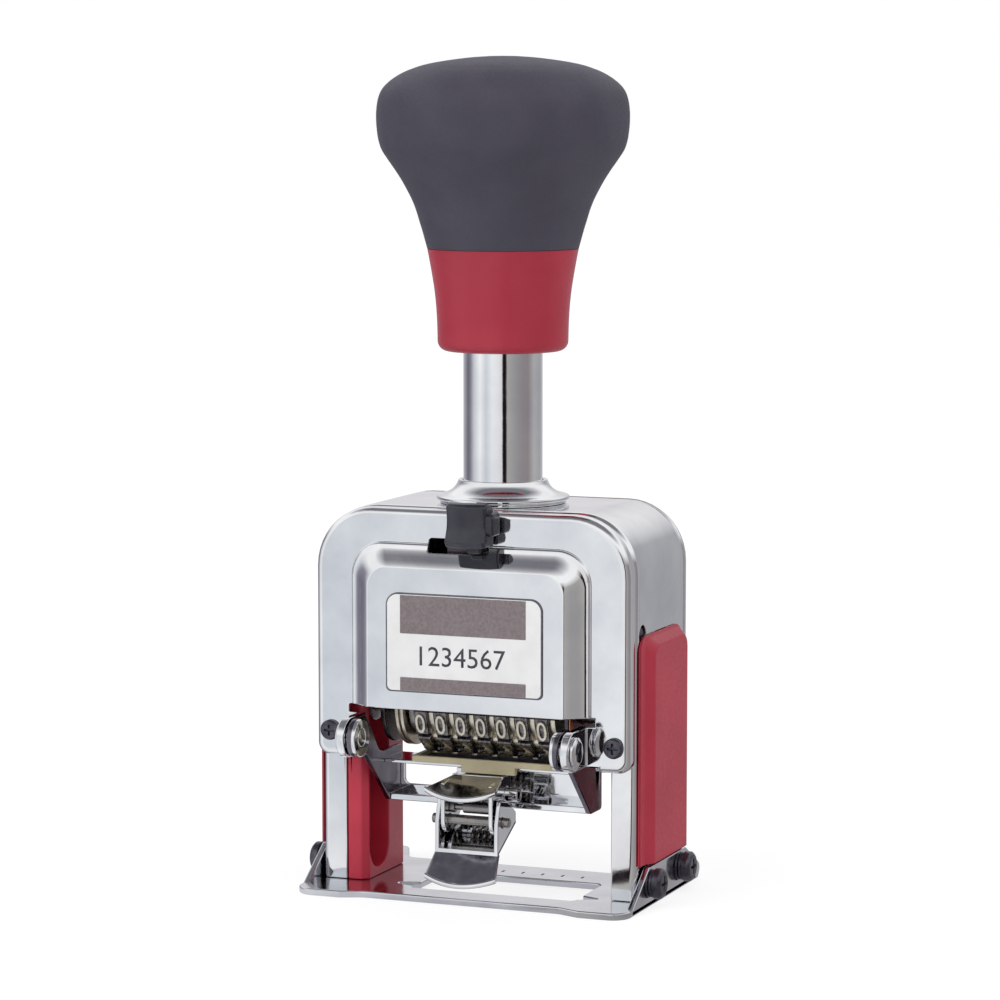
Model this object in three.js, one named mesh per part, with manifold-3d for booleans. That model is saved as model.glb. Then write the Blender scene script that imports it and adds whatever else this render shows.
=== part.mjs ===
// Numbering machine: a hand stamp with seven number wheels under a plunger, a swinging ink pad
// and a steel frame. Millimetres, +Z up, front towards -Y. The origin is on the plunger's axis,
// in the plane of the base's underside.

import * as THREE from 'three';
import { mergeVertices } from 'three/addons/utils/BufferGeometryUtils.js';
import Module from 'manifold-3d';

const wasm = await Module();
wasm.setup();

// Fits shared by all pieces
const seatGap = 0.05;
const runGap = 0.15;
const swingGap = 0.3;
const overrun = 1;

// Roundness: how far a chord may stay inside its arc, and the sides of turned pieces
const arcTolerance = 0.11;
const turnedSides = 26;

// Base plate
const baseThickness = 1.3;
const baseFrontY = -22.9;
const baseWaistFrontY = -21.3;
const baseWaistRearY = 10;
const baseRearY = 19.5;
const baseFootWidth = 9;
const baseFootSlope = 4;
const baseCornerRadius = 3.5;
const baseBendRadius = 2;
const windowLeftMargin = 0.75;
const windowRightMargin = 3.35;
const windowFrontY = -15.1;
const windowRearY = 0.3;
const windowCornerRadius = 1;
const windowNotchY = -12.1;
const windowNotchHalfWidth = 1.8;
const windowNotchLength = 4.6;
const windowNotchRadius = 0.6;
const baseEarGap = 0.3;
const baseEarThickness = 1.2;
const baseEarHeight = 7.2;
const baseEarFrontY = -20.5;
const baseEarTopFrontY = -9.8;
const baseEarTopRearY = 10.5;
const baseEarRearY = 19.2;
const baseEarHeelHeight = 2.4;
const baseEarRadius = 1.5;

// Frame: an inverted U with an inward flange all round, front and rear
const frameTopZ = 70.5;
const frameFrontY = -12.8;
const frameRearY = 13.4;
const frameWall = 1;
const frameFlange = 4.8;
const frameCornerRadius = 11;

// Front cover: a pressed pan with a raised panel
const coverFrontY = -16;
const coverWall = 0.9;
const coverInset = 0.2;
const coverSeam = 0.2;
const coverBottomZ = 24.7;
const coverTabRadius = 2.2;
const coverSideWidth = 6.7;
const notchTopZ = 34.4;
const notchMargin = 3.1;
const stepMargin = 0.8;
const stepHeight = 0.5;
const stepRadius = 4.5;
const flankInset = 0.9;
const panelRise = 3;
const panelFlankWidth = 3.9;
const panelFlankHeight = 4;
const panelTopMargin = 10.3;
const panelRadius = 2.6;
const plateSideMargin = 4;
const plateBottomMargin = 3.3;
const plateTopMargin = 4.6;
const plateThickness = 0.3;
const plateRadius = 1.6;
const selectorSlotLeftX = -7.9;
const selectorSlotRightX = 3.6;
const selectorSlotDrop = 1.5;
const selectorSlotHeight = 2.5;

// Ears of the front cover and the pivot of the ink-pad frame
const pivotY = -22;
const pivotZ = 29.3;
const pivotPinRadius = 1.6;
const pivotHeadRadius = 2.7;
const pivotHeadLength = 0.9;
const earGap = 0.5;
const earThickness = 1.5;
const earRadius = 3.6;

// Screws
const coverScrewInset = 3.1;
const coverScrewZ = 29.4;
const coverScrewHeadRadius = 1.85;
const coverScrewHeadHeight = 0.9;
const coverScrewRadius = 0.9;
const baseScrewFrontY = -8.4;
const baseScrewRearY = 8;
const baseScrewZ = 4.1;
const baseScrewHeadRadius = 2.75;
const baseScrewHeadHeight = 1.2;
const baseScrewCrown = 0.5;
const baseScrewWasherRadius = 2.5;
const baseScrewWasherHeight = 0.6;
const baseScrewRadius = 1.3;
const baseScrewReach = 4.4;
const crossSlotWidth = 0.6;
const crossSlotDepth = 0.6;

// Guides inside the legs and guards outside them
const guideClearance = 3.4;
const guideFlangeOverlap = 0.1;
const guideFrontY = -12.8;
const guideRearY = 9.8;
const guideNoseRearY = 4.2;
const guideTopGap = 0.5;
const guideChamfer = 1.2;
const guideStandoff = 0.2;
const guideSlotDepth = 3.9;
const guideSlotTopZ = 39.6;
const guideSlotFloor = 1.5;
const guardFrontY = -12.2;
const guardRearY = 10.4;
const guardBottomZ = 7.6;
const guardTopZ = 48.7;
const guardHeight = 1.8;
const guardStepHeight = 0.5;
const guardStepInset = 2.3;
const guardBevelInset = 2;
const guardTopBevel = 1.9;
const guardRearBevel = 0.6;
const guardRadius = 3;

// Wheel shaft, number wheels and what turns beside them
const shaftY = -7;
const shaftZ = 34.3;
const shaftRadius = 2.4;
const wheelCount = 7;
const wheelPitch = 3.9;
const wheelStackX = 2.4;
const typeDistance = 9.2;
const typeHeight = 1.1;
const typeLength = 4.7;
const typeWidth = 2.5;
const wheelGap = 0.3;
const ratchetRadius = 8.3;
const ratchetToothDepth = 1.1;
const figureCount = 10;
const discRadius = 8.1;
const discThickness = 0.65;
const discGrooveWidth = 0.35;
const discGrooveDepth = 1.2;
const discStandoff = 3.9;
const spacerRadius = 6.4;
const sliderRadius = 4.15;
const feedArmThickness = 0.7;
const feedBarRadius = 1.3;
const feedBarReach = 12.2;
const pawlThickness = 0.8;
const pawlHeight = 2.4;

// Plunger
const typeRestGap = 0.3;
const tubeRadius = 7.2;
const tubeWall = 1;
const tubeTopZ = 126;
const springBarHalfWidth = 2.5;
const springBarHeight = 1.8;
const stopPinY = -9.6;
const stopPinZ = 48.7;
const stopPinRadius = 1.6;
const springPlugBottomZ = 104;
const springPlugHeight = 4;
const springBoreGap = 1.1;
const springWire = 0.6;
const springTurns = 12;
const carriageSideGap = 0.25;
const carriagePlate = 0.9;
const carriageTopThickness = 2.4;
const carriageFrontY = -14.4;
const carriageRearY = 9.2;
const carriageCheekRadius = 7.6;
const carriageCornerShare = 0.9;
const leafThickness = 0.28;
const leafHeight = 9;
const leafWidth = 1.4;

// Handle
const collarBottomZ = 98;
const handleJointZ = 116.5;
const gripTopZ = 151;
const handleFootWall = 4.7;
const handleFlare = 1.75;
const gripOverhang = 9.2;
const handleCounterWall = 2;
const handleCounterDepth = 2.2;
const handleEdgeRadius = 1.7;

// Top collar and its nut
const collarRimOverhang = 0.6;
const collarDiscOverhang = 2.7;
const collarDiscHeight = 0.6;
const collarRimHeight = 0.7;
const collarNeckWall = 0.9;
const collarHeight = 4.1;
const collarSleeveWall = 1.6;
const collarSleeveLength = 4.4;
const collarNutWall = 1.5;
const collarNutHeight = 2.6;

// Ink-pad frame, pad and grip
const armGap = 0.9;
const armThickness = 1;
const eyeRadius = 3.5;
const eyeThickness = 1.6;
const padFrameRearY = -2.2;
const padFrameWall = 0.8;
const padFrameHeight = 8.1;
const padFrameLipFrontY = -7.8;
const padFrameLipThickness = 1.2;
const shelfThickness = 0.7;
const shelfFrontY = -10.5;
const armRise = 0.3;
const armShoulderY = -12.5;
const padWindowLeftX = -18.2;
const padWindowRightX = -2.5;
const padWindowMargin = 1.1;
const padCaseLeftMargin = 1.95;
const padCaseRightMargin = 1.85;
const padCaseFrontY = -12;
const padCaseRearY = -3.2;
const padCaseRim = 0.3;
const padCaseWall = 0.8;
const padCaseFloor = 0.35;
const padCaseLugLeftX = -3.5;
const padCaseLugRightX = 7;
const padCaseLugDrop = 1.3;
const padDepth = 0.9;
const padGap = 0.5;
const gripPlateDrop = 1.5;
const gripPlateThickness = 0.8;
const gripCheekOuterX = 5;
const gripCheekThickness = 0.8;
const gripRearY = -8.9;
const gripBendY = -12.6;
const gripTabFrontY = -22.6;
const gripTabFall = 3.2;
const gripTabRearHalfWidth = 4.6;
const gripTabFrontHalfWidth = 6.8;
const gripTabDish = 1.3;
const gripTabBow = 1.4;
const latchPinY = -15.5;
const latchPinDrop = 7.7;
const latchPinRadius = 0.9;
const latchPinHalfLength = 7.4;
const latchHubRadius = 2.4;
const gripSpacerY = -14.9;
const gripSpacerRise = 2.2;
const gripSpacerRadius = 1.05;
const gripSpacerNeckX = -3.2;
const gripSpacerNeckLength = 1.6;
const gripSpacerNeckRadius = 0.55;
const crossTubeY = -10.9;
const crossTubeDrop = 3.4;
const crossTubeRadius = 1.3;
const crossTubeBore = 0.8;
const latchCheekInnerX = 5.3;
const latchCheekThickness = 0.8;
const latchBendY = -18;
const latchBendDrop = 5;
const latchRearY = -9;
const latchRearDrop = 0.4;
const latchRearHeight = 1.3;
const latchTongueFrontY = -22.6;
const latchTongueDrop = 11.1;
const latchTongueFrontHalfWidth = 6.8;
const latchTongueDish = 1.2;
const latchHeadHeight = 4.1;
const latchSpringRadius = 1.95;
const latchSpringWire = 0.35;
const latchSpringTurns = 6;

// Selector in the slot of the front cover
const knobLeftX = -2.9;
const knobWidth = 7.8;
const knobRise = 1.7;
const knobHeight = 8.2;
const knobReach = 5.6;
const knobFinWidth = 1.2;
const knobStemLeftX = 0.2;
const knobStemWidth = 2.6;
const selectorSlideHalfWidth = 6.5;
const selectorSlideHeight = 6;
const selectorSlideThickness = 0.8;

// Widths, from the wheel stack outward
const wheelLeftX = wheelStackX - wheelCount * wheelPitch / 2;
const wheelRightX = wheelLeftX + wheelCount * wheelPitch;
const windowLeftX = wheelLeftX - windowLeftMargin;
const windowRightX = wheelRightX + windowRightMargin;
const discLeftX = wheelLeftX - discStandoff;
const discRightX = discLeftX + 2 * discThickness + discGrooveWidth;
const feedArmX = wheelRightX + wheelGap;
const carriageHalfWidth = feedArmX + feedArmThickness + carriageSideGap + carriagePlate;
const armInnerX = carriageHalfWidth + armGap;
const armOuterX = armInnerX + armThickness;
const earInnerX = armOuterX + earGap;
const guideInnerX = carriageHalfWidth + guideClearance;
const notchHalfWidth = earInnerX + notchMargin;
const stepHalfWidth = notchHalfWidth - stepMargin;
const panelHalfWidth = stepHalfWidth - panelFlankWidth;
const plateHalfWidth = panelHalfWidth - plateSideMargin;
const frameHalfWidth = notchHalfWidth + coverSideWidth;
const coverScrewX = frameHalfWidth - coverScrewInset;
const baseHalfWidth = frameHalfWidth + baseEarGap + baseEarThickness;
const padCaseLeftX = wheelLeftX - padCaseLeftMargin;
const padCaseRightX = wheelRightX + padCaseRightMargin;

// Heights, from the wheel shaft and from the top of the frame
const pressTravel = shaftZ - typeDistance - typeRestGap;
const carriageUndersideZ = shaftZ + Math.hypot(typeDistance, typeLength / 2) + runGap;
const carriageTopZ = carriageUndersideZ + carriageTopThickness;
const tubeBottomZ = carriageUndersideZ + swingGap;
const springBarBottomZ = carriageTopZ + swingGap;
const guideTopZ = springBarBottomZ - guideTopGap;
const padTopZ = shaftZ - typeDistance - padGap;
const padCaseTopZ = padTopZ + padCaseRim;
const armTopZ = padCaseTopZ + armRise;
const shelfTopZ = padTopZ - padDepth;
const padFrameBottomZ = shelfTopZ - padFrameHeight;
const gripPlateTopZ = shelfTopZ - gripPlateDrop;
const crossTubeZ = gripPlateTopZ - crossTubeDrop;
const latchPinZ = gripPlateTopZ - latchPinDrop;
const panelTopZ = frameTopZ - panelTopMargin;
const stepTopZ = panelTopZ + panelFlankHeight;
const plateBottomZ = notchTopZ + plateBottomMargin;
const plateTopZ = panelTopZ - plateTopMargin;
const selectorSlotBottomZ = stepTopZ - selectorSlotDrop;
const selectorSlotTopZ = selectorSlotBottomZ + selectorSlotHeight;
const knobBottomZ = selectorSlotBottomZ + knobRise;
const knobTopZ = knobBottomZ + knobHeight;

// Radii, from the plunger tube outward
const springRadius = tubeRadius - tubeWall - springWire - springBoreGap;
const collarNeckRadius = tubeRadius + collarNeckWall;
const collarSleeveRadius = tubeRadius + collarSleeveWall;
const collarDiscRadius = collarSleeveRadius + collarDiscOverhang;
const collarRimRadius = collarDiscRadius + collarRimOverhang;
const collarNutRadius = collarSleeveRadius + collarNutWall;
const handleCounterRadius = tubeRadius + handleCounterWall;
const handleBottomRadius = tubeRadius + handleFootWall;
const handleJointRadius = handleBottomRadius + handleFlare;
const gripRadius = handleJointRadius + gripOverhang;

// Materials
const chrome = new THREE.MeshStandardMaterial({ color: 0xdfe3e6, metalness: 1, roughness: 0.12 });
const steel = new THREE.MeshStandardMaterial({ color: 0xa9a49e, metalness: 1, roughness: 0.3 });
const brassy = new THREE.MeshStandardMaterial({ color: 0xb87a4c, metalness: 1, roughness: 0.3 });
const redPlastic = new THREE.MeshStandardMaterial({ color: 0xb8303a, roughness: 0.5 });
const blackGrip = new THREE.MeshStandardMaterial({ color: 0x3b3b42, roughness: 0.75 });
const blackSteel = new THREE.MeshStandardMaterial({ color: 0x1d1c22, metalness: 0.6, roughness: 0.35 });
const blackPlastic = new THREE.MeshStandardMaterial({ color: 0x151518, roughness: 0.35 });
const creamPlastic = new THREE.MeshStandardMaterial({ color: 0xd8cdb0, roughness: 0.6 });
const inkFelt = new THREE.MeshStandardMaterial({ color: 0x2c2a3a, roughness: 1 });
const labelPlate = new THREE.MeshStandardMaterial({ color: 0xf1f1ee, roughness: 0.5 });

const group = new THREE.Group();

// A closed geometry becomes a solid: its shared vertices are merged and its faces made to point out.
function solid(geometry) {
  geometry.deleteAttribute('normal');
  geometry.deleteAttribute('uv');
  const merged = mergeVertices(geometry);
  const positions = merged.attributes.position.array;
  const triangles = [];
  let volume = 0;
  for (let i = 0; i < merged.index.count; i += 3) {
    const [a, b, c] = [0, 1, 2].map((k) => merged.index.getX(i + k));
    if (a === b || b === c || c === a) continue;
    triangles.push([a, b, c]);
    const [p, q, r] = [a, b, c].map((k) => new THREE.Vector3().fromArray(positions, 3 * k));
    volume += p.dot(q.cross(r));
  }
  const ordered = volume < 0 ? triangles.map(([a, b, c]) => [a, c, b]) : triangles;
  const mesh = new wasm.Mesh({
    numProp: 3,
    vertProperties: new Float32Array(positions),
    triVerts: new Uint32Array(ordered.flat()),
  });
  return new wasm.Manifold(mesh);
}

function boxOf(x0, x1, y0, y1, z0, z1) {
  const geometry = new THREE.BoxGeometry(x1 - x0, y1 - y0, z1 - z0);
  geometry.translate((x0 + x1) / 2, (y0 + y1) / 2, (z0 + z1) / 2);
  return solid(geometry);
}

// Chords that a sweep of the given angle needs
function chords(radius, sweep) {
  return Math.ceil(sweep / (2 * Math.acos(1 - Math.min(arcTolerance / radius, 1 / 2))));
}

function extruded(shape, depth) {
  return new THREE.ExtrudeGeometry(shape, { depth, bevelEnabled: false, curveSegments: 1 });
}

// Plates square to each axis: the shape lies in YZ, XZ or XY.
function plateX(shape, x0, x1) {
  const axes = [new THREE.Vector3(0, 1, 0), new THREE.Vector3(0, 0, 1), new THREE.Vector3(1, 0, 0)];
  const geometry = extruded(shape, x1 - x0).applyMatrix4(new THREE.Matrix4().makeBasis(...axes));
  return solid(geometry.translate(x0, 0, 0));
}

function plateY(shape, y0, y1) {
  return solid(extruded(shape, y1 - y0).rotateX(Math.PI / 2).translate(0, y1, 0));
}

function plateZ(shape, z0, z1) {
  return solid(extruded(shape, z1 - z0).translate(0, 0, z0));
}

// Rods along each axis
function rodX(radius, x0, x1, y, z, sides = chords(radius, 2 * Math.PI)) {
  const geometry = new THREE.CylinderGeometry(radius, radius, x1 - x0, sides);
  return solid(geometry.rotateZ(Math.PI / 2).translate((x0 + x1) / 2, y, z));
}

function rodY(radius, y0, y1, x, z, sides = chords(radius, 2 * Math.PI)) {
  const geometry = new THREE.CylinderGeometry(radius, radius, y1 - y0, sides);
  return solid(geometry.translate(x, (y0 + y1) / 2, z));
}

// A profile of [radius, height] corners turned about the Z axis; it closes on itself.
function turned(profile, sides = turnedSides) {
  const points = [...profile, profile[0]].map(([radius, z]) => new THREE.Vector2(radius, z));
  return solid(new THREE.LatheGeometry(points, sides).rotateX(Math.PI / 2));
}

// An outline of [u, v, radius] corners, each rounded by chords of its arc.
function roundedShape(corners) {
  const shape = new THREE.Shape();
  corners.forEach(([u, v, radius], index) => {
    const corner = new THREE.Vector2(u, v);
    const [before, after] = [corners.length - 1, 1].map((step) => {
      const [x, y] = corners[(index + step) % corners.length];
      return new THREE.Vector2(x, y).sub(corner).normalize();
    });
    const half = Math.acos(THREE.MathUtils.clamp(before.dot(after), -1, 1)) / 2;
    const start = corner.clone().addScaledVector(before, radius / Math.tan(half));
    if (index === 0) shape.moveTo(start.x, start.y);
    else shape.lineTo(start.x, start.y);
    if (radius === 0) return;
    const end = corner.clone().addScaledVector(after, radius / Math.tan(half));
    const inward = before.clone().add(after).normalize();
    const centre = corner.clone().addScaledVector(inward, radius / Math.sin(half));
    const sweep = (Math.PI - 2 * half) * -Math.sign(before.cross(after));
    const from = start.sub(centre).angle();
    const count = chords(radius, Math.abs(sweep));
    for (let i = 1; i < count; i += 1) {
      const angle = from + sweep * i / count;
      shape.lineTo(centre.x + radius * Math.cos(angle), centre.y + radius * Math.sin(angle));
    }
    shape.lineTo(end.x, end.y);
  });
  shape.closePath();
  return shape;
}

function roundedRect(u0, u1, v0, v1, radius) {
  return roundedShape([[u0, v0, radius], [u1, v0, radius], [u1, v1, radius], [u0, v1, radius]]);
}

// A closed skin through rings of equally many points, with a fan over each end.
function loft(rings) {
  const count = rings[0].length;
  const positions = [];
  const put = (...points) => points.forEach((point) => positions.push(...point));
  for (let level = 0; level + 1 < rings.length; level += 1) {
    for (let i = 0; i < count; i += 1) {
      const next = (i + 1) % count;
      const [a, b, c, d] = [rings[level][i], rings[level][next], rings[level + 1][next], rings[level + 1][i]];
      put(a, b, c, a, c, d);
    }
  }
  for (let i = 1; i + 1 < count; i += 1) {
    put(rings[0][0], rings[0][i + 1], rings[0][i]);
    const last = rings[rings.length - 1];
    put(last[0], last[i], last[i + 1]);
  }
  const geometry = new THREE.BufferGeometry();
  geometry.setAttribute('position', new THREE.Float32BufferAttribute(positions, 3));
  return solid(geometry);
}

// A round wire along a helix of given radius, closed at both ends
class Helix extends THREE.Curve {
  constructor(radius, length, turns) {
    super();
    Object.assign(this, { radius, length, turns });
  }

  getPoint(t, target = new THREE.Vector3()) {
    const angle = 2 * Math.PI * this.turns * t;
    return target.set(this.radius * Math.cos(angle), this.radius * Math.sin(angle), this.length * t);
  }
}

const coilSteps = 8;

// Least gap of a coil to itself, measured between points of its path half a turn or more apart
function leastGap(path, wire) {
  const points = path.getPoints(path.turns * coilSteps);
  let least = Infinity;
  points.forEach((point, i) => {
    points.slice(i + coilSteps / 2).forEach((other) => {
      least = Math.min(least, point.distanceTo(other) - 2 * wire);
    });
  });
  return least;
}

function coil(name, radius, wire, length, turns) {
  const wireSides = 5;
  const section = new THREE.Shape(Array.from({ length: wireSides }, (_, i) => {
    const angle = 2 * Math.PI * i / wireSides;
    return new THREE.Vector2(wire * Math.cos(angle), wire * Math.sin(angle));
  }));
  const path = new Helix(radius, length, turns);
  console.log(`${name}: least gap to itself ${leastGap(path, wire).toFixed(2)} mm`);
  return new THREE.ExtrudeGeometry(section, { steps: turns * coilSteps, extrudePath: path });
}

function both(make) {
  return make(-1).add(make(1));
}

// X limits of a piece that lies at |X| from inner to outer, on one side
function span(side, inner, outer) {
  return side < 0 ? [-outer, -inner] : [inner, outer];
}

function place(name, body, material) {
  const { vertProperties, triVerts } = body.getMesh();
  const geometry = new THREE.BufferGeometry();
  geometry.setAttribute('position', new THREE.BufferAttribute(new Float32Array(vertProperties), 3));
  geometry.setIndex(new THREE.BufferAttribute(new Uint32Array(triVerts), 1));
  geometry.computeVertexNormals();
  const mesh = new THREE.Mesh(geometry, material);
  mesh.name = name;
  group.add(mesh);
}

// Base plate: footed sheet with a stamping window and two ears bent up for the frame's screws
const baseEarInnerX = baseHalfWidth - baseEarThickness;
const baseScrewYs = [baseScrewFrontY, baseScrewRearY];

function basePlate() {
  const half = baseHalfWidth;
  const footX = half - baseFootWidth;
  const waistX = footX - baseFootSlope;
  const rearFootX = footX + baseFootSlope;
  const outline = roundedShape([
    [-half, baseFrontY, baseCornerRadius],
    [-footX, baseFrontY, baseBendRadius],
    [-waistX, baseWaistFrontY, baseBendRadius],
    [waistX, baseWaistFrontY, baseBendRadius],
    [footX, baseFrontY, baseBendRadius],
    [half, baseFrontY, baseCornerRadius],
    [half, baseRearY, baseCornerRadius],
    [rearFootX, baseRearY, baseBendRadius],
    [footX, baseWaistRearY, baseBendRadius],
    [-footX, baseWaistRearY, baseBendRadius],
    [-rearFootX, baseRearY, baseBendRadius],
    [-half, baseRearY, baseCornerRadius],
  ]);
  const window = roundedRect(windowLeftX, windowRightX, windowFrontY, windowRearY, windowCornerRadius);
  const notches = roundedShape([
    [windowLeftX, windowNotchY - windowNotchHalfWidth, 0],
    [windowRightX, windowNotchY - windowNotchHalfWidth, 0],
    [windowRightX + windowNotchLength, windowNotchY, windowNotchRadius],
    [windowRightX, windowNotchY + windowNotchHalfWidth, 0],
    [windowLeftX, windowNotchY + windowNotchHalfWidth, 0],
    [windowLeftX - windowNotchLength, windowNotchY, windowNotchRadius],
  ]);
  const ear = roundedShape([
    [baseEarFrontY, 0, 0],
    [baseEarRearY - baseEarRadius, 0, 0],
    [baseEarRearY, baseEarHeelHeight, baseEarRadius],
    [baseEarTopRearY, baseEarHeight, baseEarRadius],
    [baseEarTopFrontY, baseEarHeight, baseEarRadius],
  ]);
  const hole = baseScrewRadius + runGap;
  let body = plateZ(outline, 0, baseThickness);
  [window, notches].forEach((cut) => {
    body = body.subtract(plateZ(cut, -overrun, baseThickness + overrun));
  });
  body = body.add(both((side) => plateX(ear, ...span(side, baseEarInnerX, half))));
  baseScrewYs.forEach((y) => {
    body = body.subtract(rodX(hole, -half - overrun, half + overrun, y, baseScrewZ));
  });
  return body;
}

place('base_plate', basePlate(), chrome);

// Frame: one strip bent over the top, with a flange turned in along its front and rear edges
const frameBottomZ = baseThickness + seatGap;

function archShape(halfWidth, topZ, bottomZ, radius) {
  return roundedShape([
    [-halfWidth, bottomZ, 0],
    [halfWidth, bottomZ, 0],
    [halfWidth, topZ, radius],
    [-halfWidth, topZ, radius],
  ]);
}

function frameBody() {
  const arch = (inset, bottomZ) => archShape(
    frameHalfWidth - inset, frameTopZ - inset, bottomZ, frameCornerRadius - inset);
  const outer = arch(0, frameBottomZ);
  const wallInside = arch(frameWall, frameBottomZ - overrun);
  const opening = arch(frameFlange, frameBottomZ - overrun);
  let body = plateY(outer, frameFrontY, frameRearY)
    .subtract(plateY(wallInside, frameFrontY + frameWall, frameRearY - frameWall))
    .subtract(plateY(opening, frameFrontY - overrun, frameRearY + overrun));
  const reach = frameHalfWidth + overrun;
  baseScrewYs.forEach((y) => {
    body = body.subtract(rodX(baseScrewRadius + runGap, -reach, reach, y, baseScrewZ));
  });
  body = body.subtract(rodX(stopPinRadius + swingGap, -reach, reach, stopPinY, stopPinZ));
  const slotHalf = springBarHalfWidth + runGap;
  const slotTop = springBarBottomZ + springBarHeight + runGap;
  body = body.subtract(boxOf(-reach, reach, -slotHalf, slotHalf, springBarBottomZ - runGap, slotTop));
  const sleeveHole = solid(new THREE.CylinderGeometry(
    collarSleeveRadius + runGap, collarSleeveRadius + runGap, frameCornerRadius, turnedSides)
    .rotateX(Math.PI / 2).translate(0, 0, frameTopZ));
  body = body.subtract(sleeveHole);
  [-1, 1].forEach((side) => {
    const screwHole = coverScrewRadius + runGap;
    const x = side * coverScrewX;
    body = body.subtract(rodY(screwHole, frameFrontY - overrun, frameRearY + overrun, x, coverScrewZ));
  });
  return body;
}

place('frame', frameBody(), chrome);

// Front cover: pan, stepped and raised panel, two tabs with bent ears, a slot for the selector
const coverRearY = frameFrontY - coverSeam;
const panelFrontY = coverFrontY - panelRise;

// One ring of the raised panel: square below, rounded at its two upper corners
function panelRing(halfWidth, topZ, bottomZ, radius, y) {
  const arcPoints = 4;
  const ring = [[-halfWidth, y, bottomZ], [halfWidth, y, bottomZ]];
  [1, -1].forEach((side) => {
    for (let i = 0; i <= arcPoints; i += 1) {
      const share = side > 0 ? i / arcPoints : 1 - i / arcPoints;
      const angle = share * Math.PI / 2;
      const x = side * (halfWidth - radius + radius * Math.cos(angle));
      ring.push([x, y, topZ - radius + radius * Math.sin(angle)]);
    }
  });
  return ring;
}

function raisedPanel(wall, bottomZ, rearY) {
  const stepFrontY = coverFrontY - stepHeight + wall;
  const stepRing = (inset, radius, y) => panelRing(
    stepHalfWidth - wall - inset, stepTopZ - wall - inset, bottomZ, radius, y);
  return loft([
    stepRing(0, stepRadius, rearY),
    stepRing(stepHeight, stepRadius, stepFrontY),
    stepRing(flankInset, stepRadius - stepHeight, stepFrontY - stepHeight / 4),
    panelRing(panelHalfWidth - wall, panelTopZ - wall, bottomZ, panelRadius, panelFrontY + wall),
  ]);
}

function frontCover() {
  const half = frameHalfWidth - coverInset;
  const top = frameTopZ - coverInset;
  const outline = roundedShape([
    [-half, coverBottomZ, coverTabRadius],
    [half, coverBottomZ, coverTabRadius],
    [half, top, frameCornerRadius],
    [-half, top, frameCornerRadius],
  ]);
  const innerRadius = frameCornerRadius - coverWall;
  const inside = roundedShape([
    [-half + coverWall, coverBottomZ + coverWall, coverTabRadius - coverWall],
    [half - coverWall, coverBottomZ + coverWall, coverTabRadius - coverWall],
    [half - coverWall, top - coverWall, innerRadius],
    [-half + coverWall, top - coverWall, innerRadius],
  ]);
  const earTop = pivotZ + earRadius;
  const earBottom = pivotZ - earRadius;
  const plateRearY = coverFrontY + coverWall;
  const ear = roundedShape([
    [pivotY - earRadius, earBottom, earRadius],
    [plateRearY, earBottom, 0],
    [plateRearY, earTop, 0],
    [pivotY - earRadius, earTop, earRadius],
  ]);
  let body = plateY(outline, coverFrontY, coverRearY)
    .subtract(plateY(inside, plateRearY, coverRearY + overrun))
    .add(raisedPanel(0, notchTopZ, coverFrontY + coverWall / 2));
  body = body.subtract(raisedPanel(coverWall, notchTopZ - overrun, plateRearY + overrun));
  body = body.subtract(boxOf(-notchHalfWidth, notchHalfWidth, panelFrontY - overrun, coverRearY + overrun,
    coverBottomZ - overrun, notchTopZ));
  body = body.add(both((side) => plateX(ear, ...span(side, earInnerX, earInnerX + earThickness))));
  body = body.add(both((side) => {
    const [x0, x1] = span(side, earInnerX, notchHalfWidth + coverWall);
    return boxOf(x0, x1, coverFrontY, plateRearY, earBottom, earTop);
  }));
  const reach = earInnerX + earThickness + overrun;
  body = body.subtract(rodX(pivotPinRadius + runGap, -reach, reach, pivotY, pivotZ));
  body = body.subtract(boxOf(selectorSlotLeftX, selectorSlotRightX, panelFrontY, plateRearY + overrun,
    selectorSlotBottomZ, selectorSlotTopZ));
  [-1, 1].forEach((side) => {
    const hole = coverScrewRadius + runGap;
    body = body.subtract(rodY(hole, coverFrontY - overrun, coverRearY, side * coverScrewX, coverScrewZ));
  });
  return body;
}

place('front_cover', frontCover(), chrome);

const namePlateShape = roundedRect(-plateHalfWidth, plateHalfWidth, plateBottomZ, plateTopZ, plateRadius);
const namePlateRearY = panelFrontY - seatGap;
place('name_plate', plateY(namePlateShape, namePlateRearY - plateThickness, namePlateRearY), labelPlate);

// Rear cover: flat plate on the frame's rear flange, cut out over the wheels
function rearCover() {
  const rearY = frameRearY + seatGap;
  const outline = archShape(frameHalfWidth, frameTopZ, coverBottomZ, frameCornerRadius);
  const notchFootZ = coverBottomZ - notchTopZ;
  const notch = roundedRect(-notchHalfWidth, notchHalfWidth, notchFootZ, notchTopZ, coverTabRadius);
  let body = plateY(outline, rearY, rearY + coverWall);
  body = body.subtract(plateY(notch, rearY - overrun, rearY + coverWall + overrun));
  [-1, 1].forEach((side) => {
    const hole = coverScrewRadius + runGap;
    const outerY = rearY + coverWall + overrun;
    body = body.subtract(rodY(hole, rearY - overrun, outerY, side * coverScrewX, coverScrewZ));
  });
  return body;
}

place('rear_cover', rearCover(), chrome);

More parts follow.
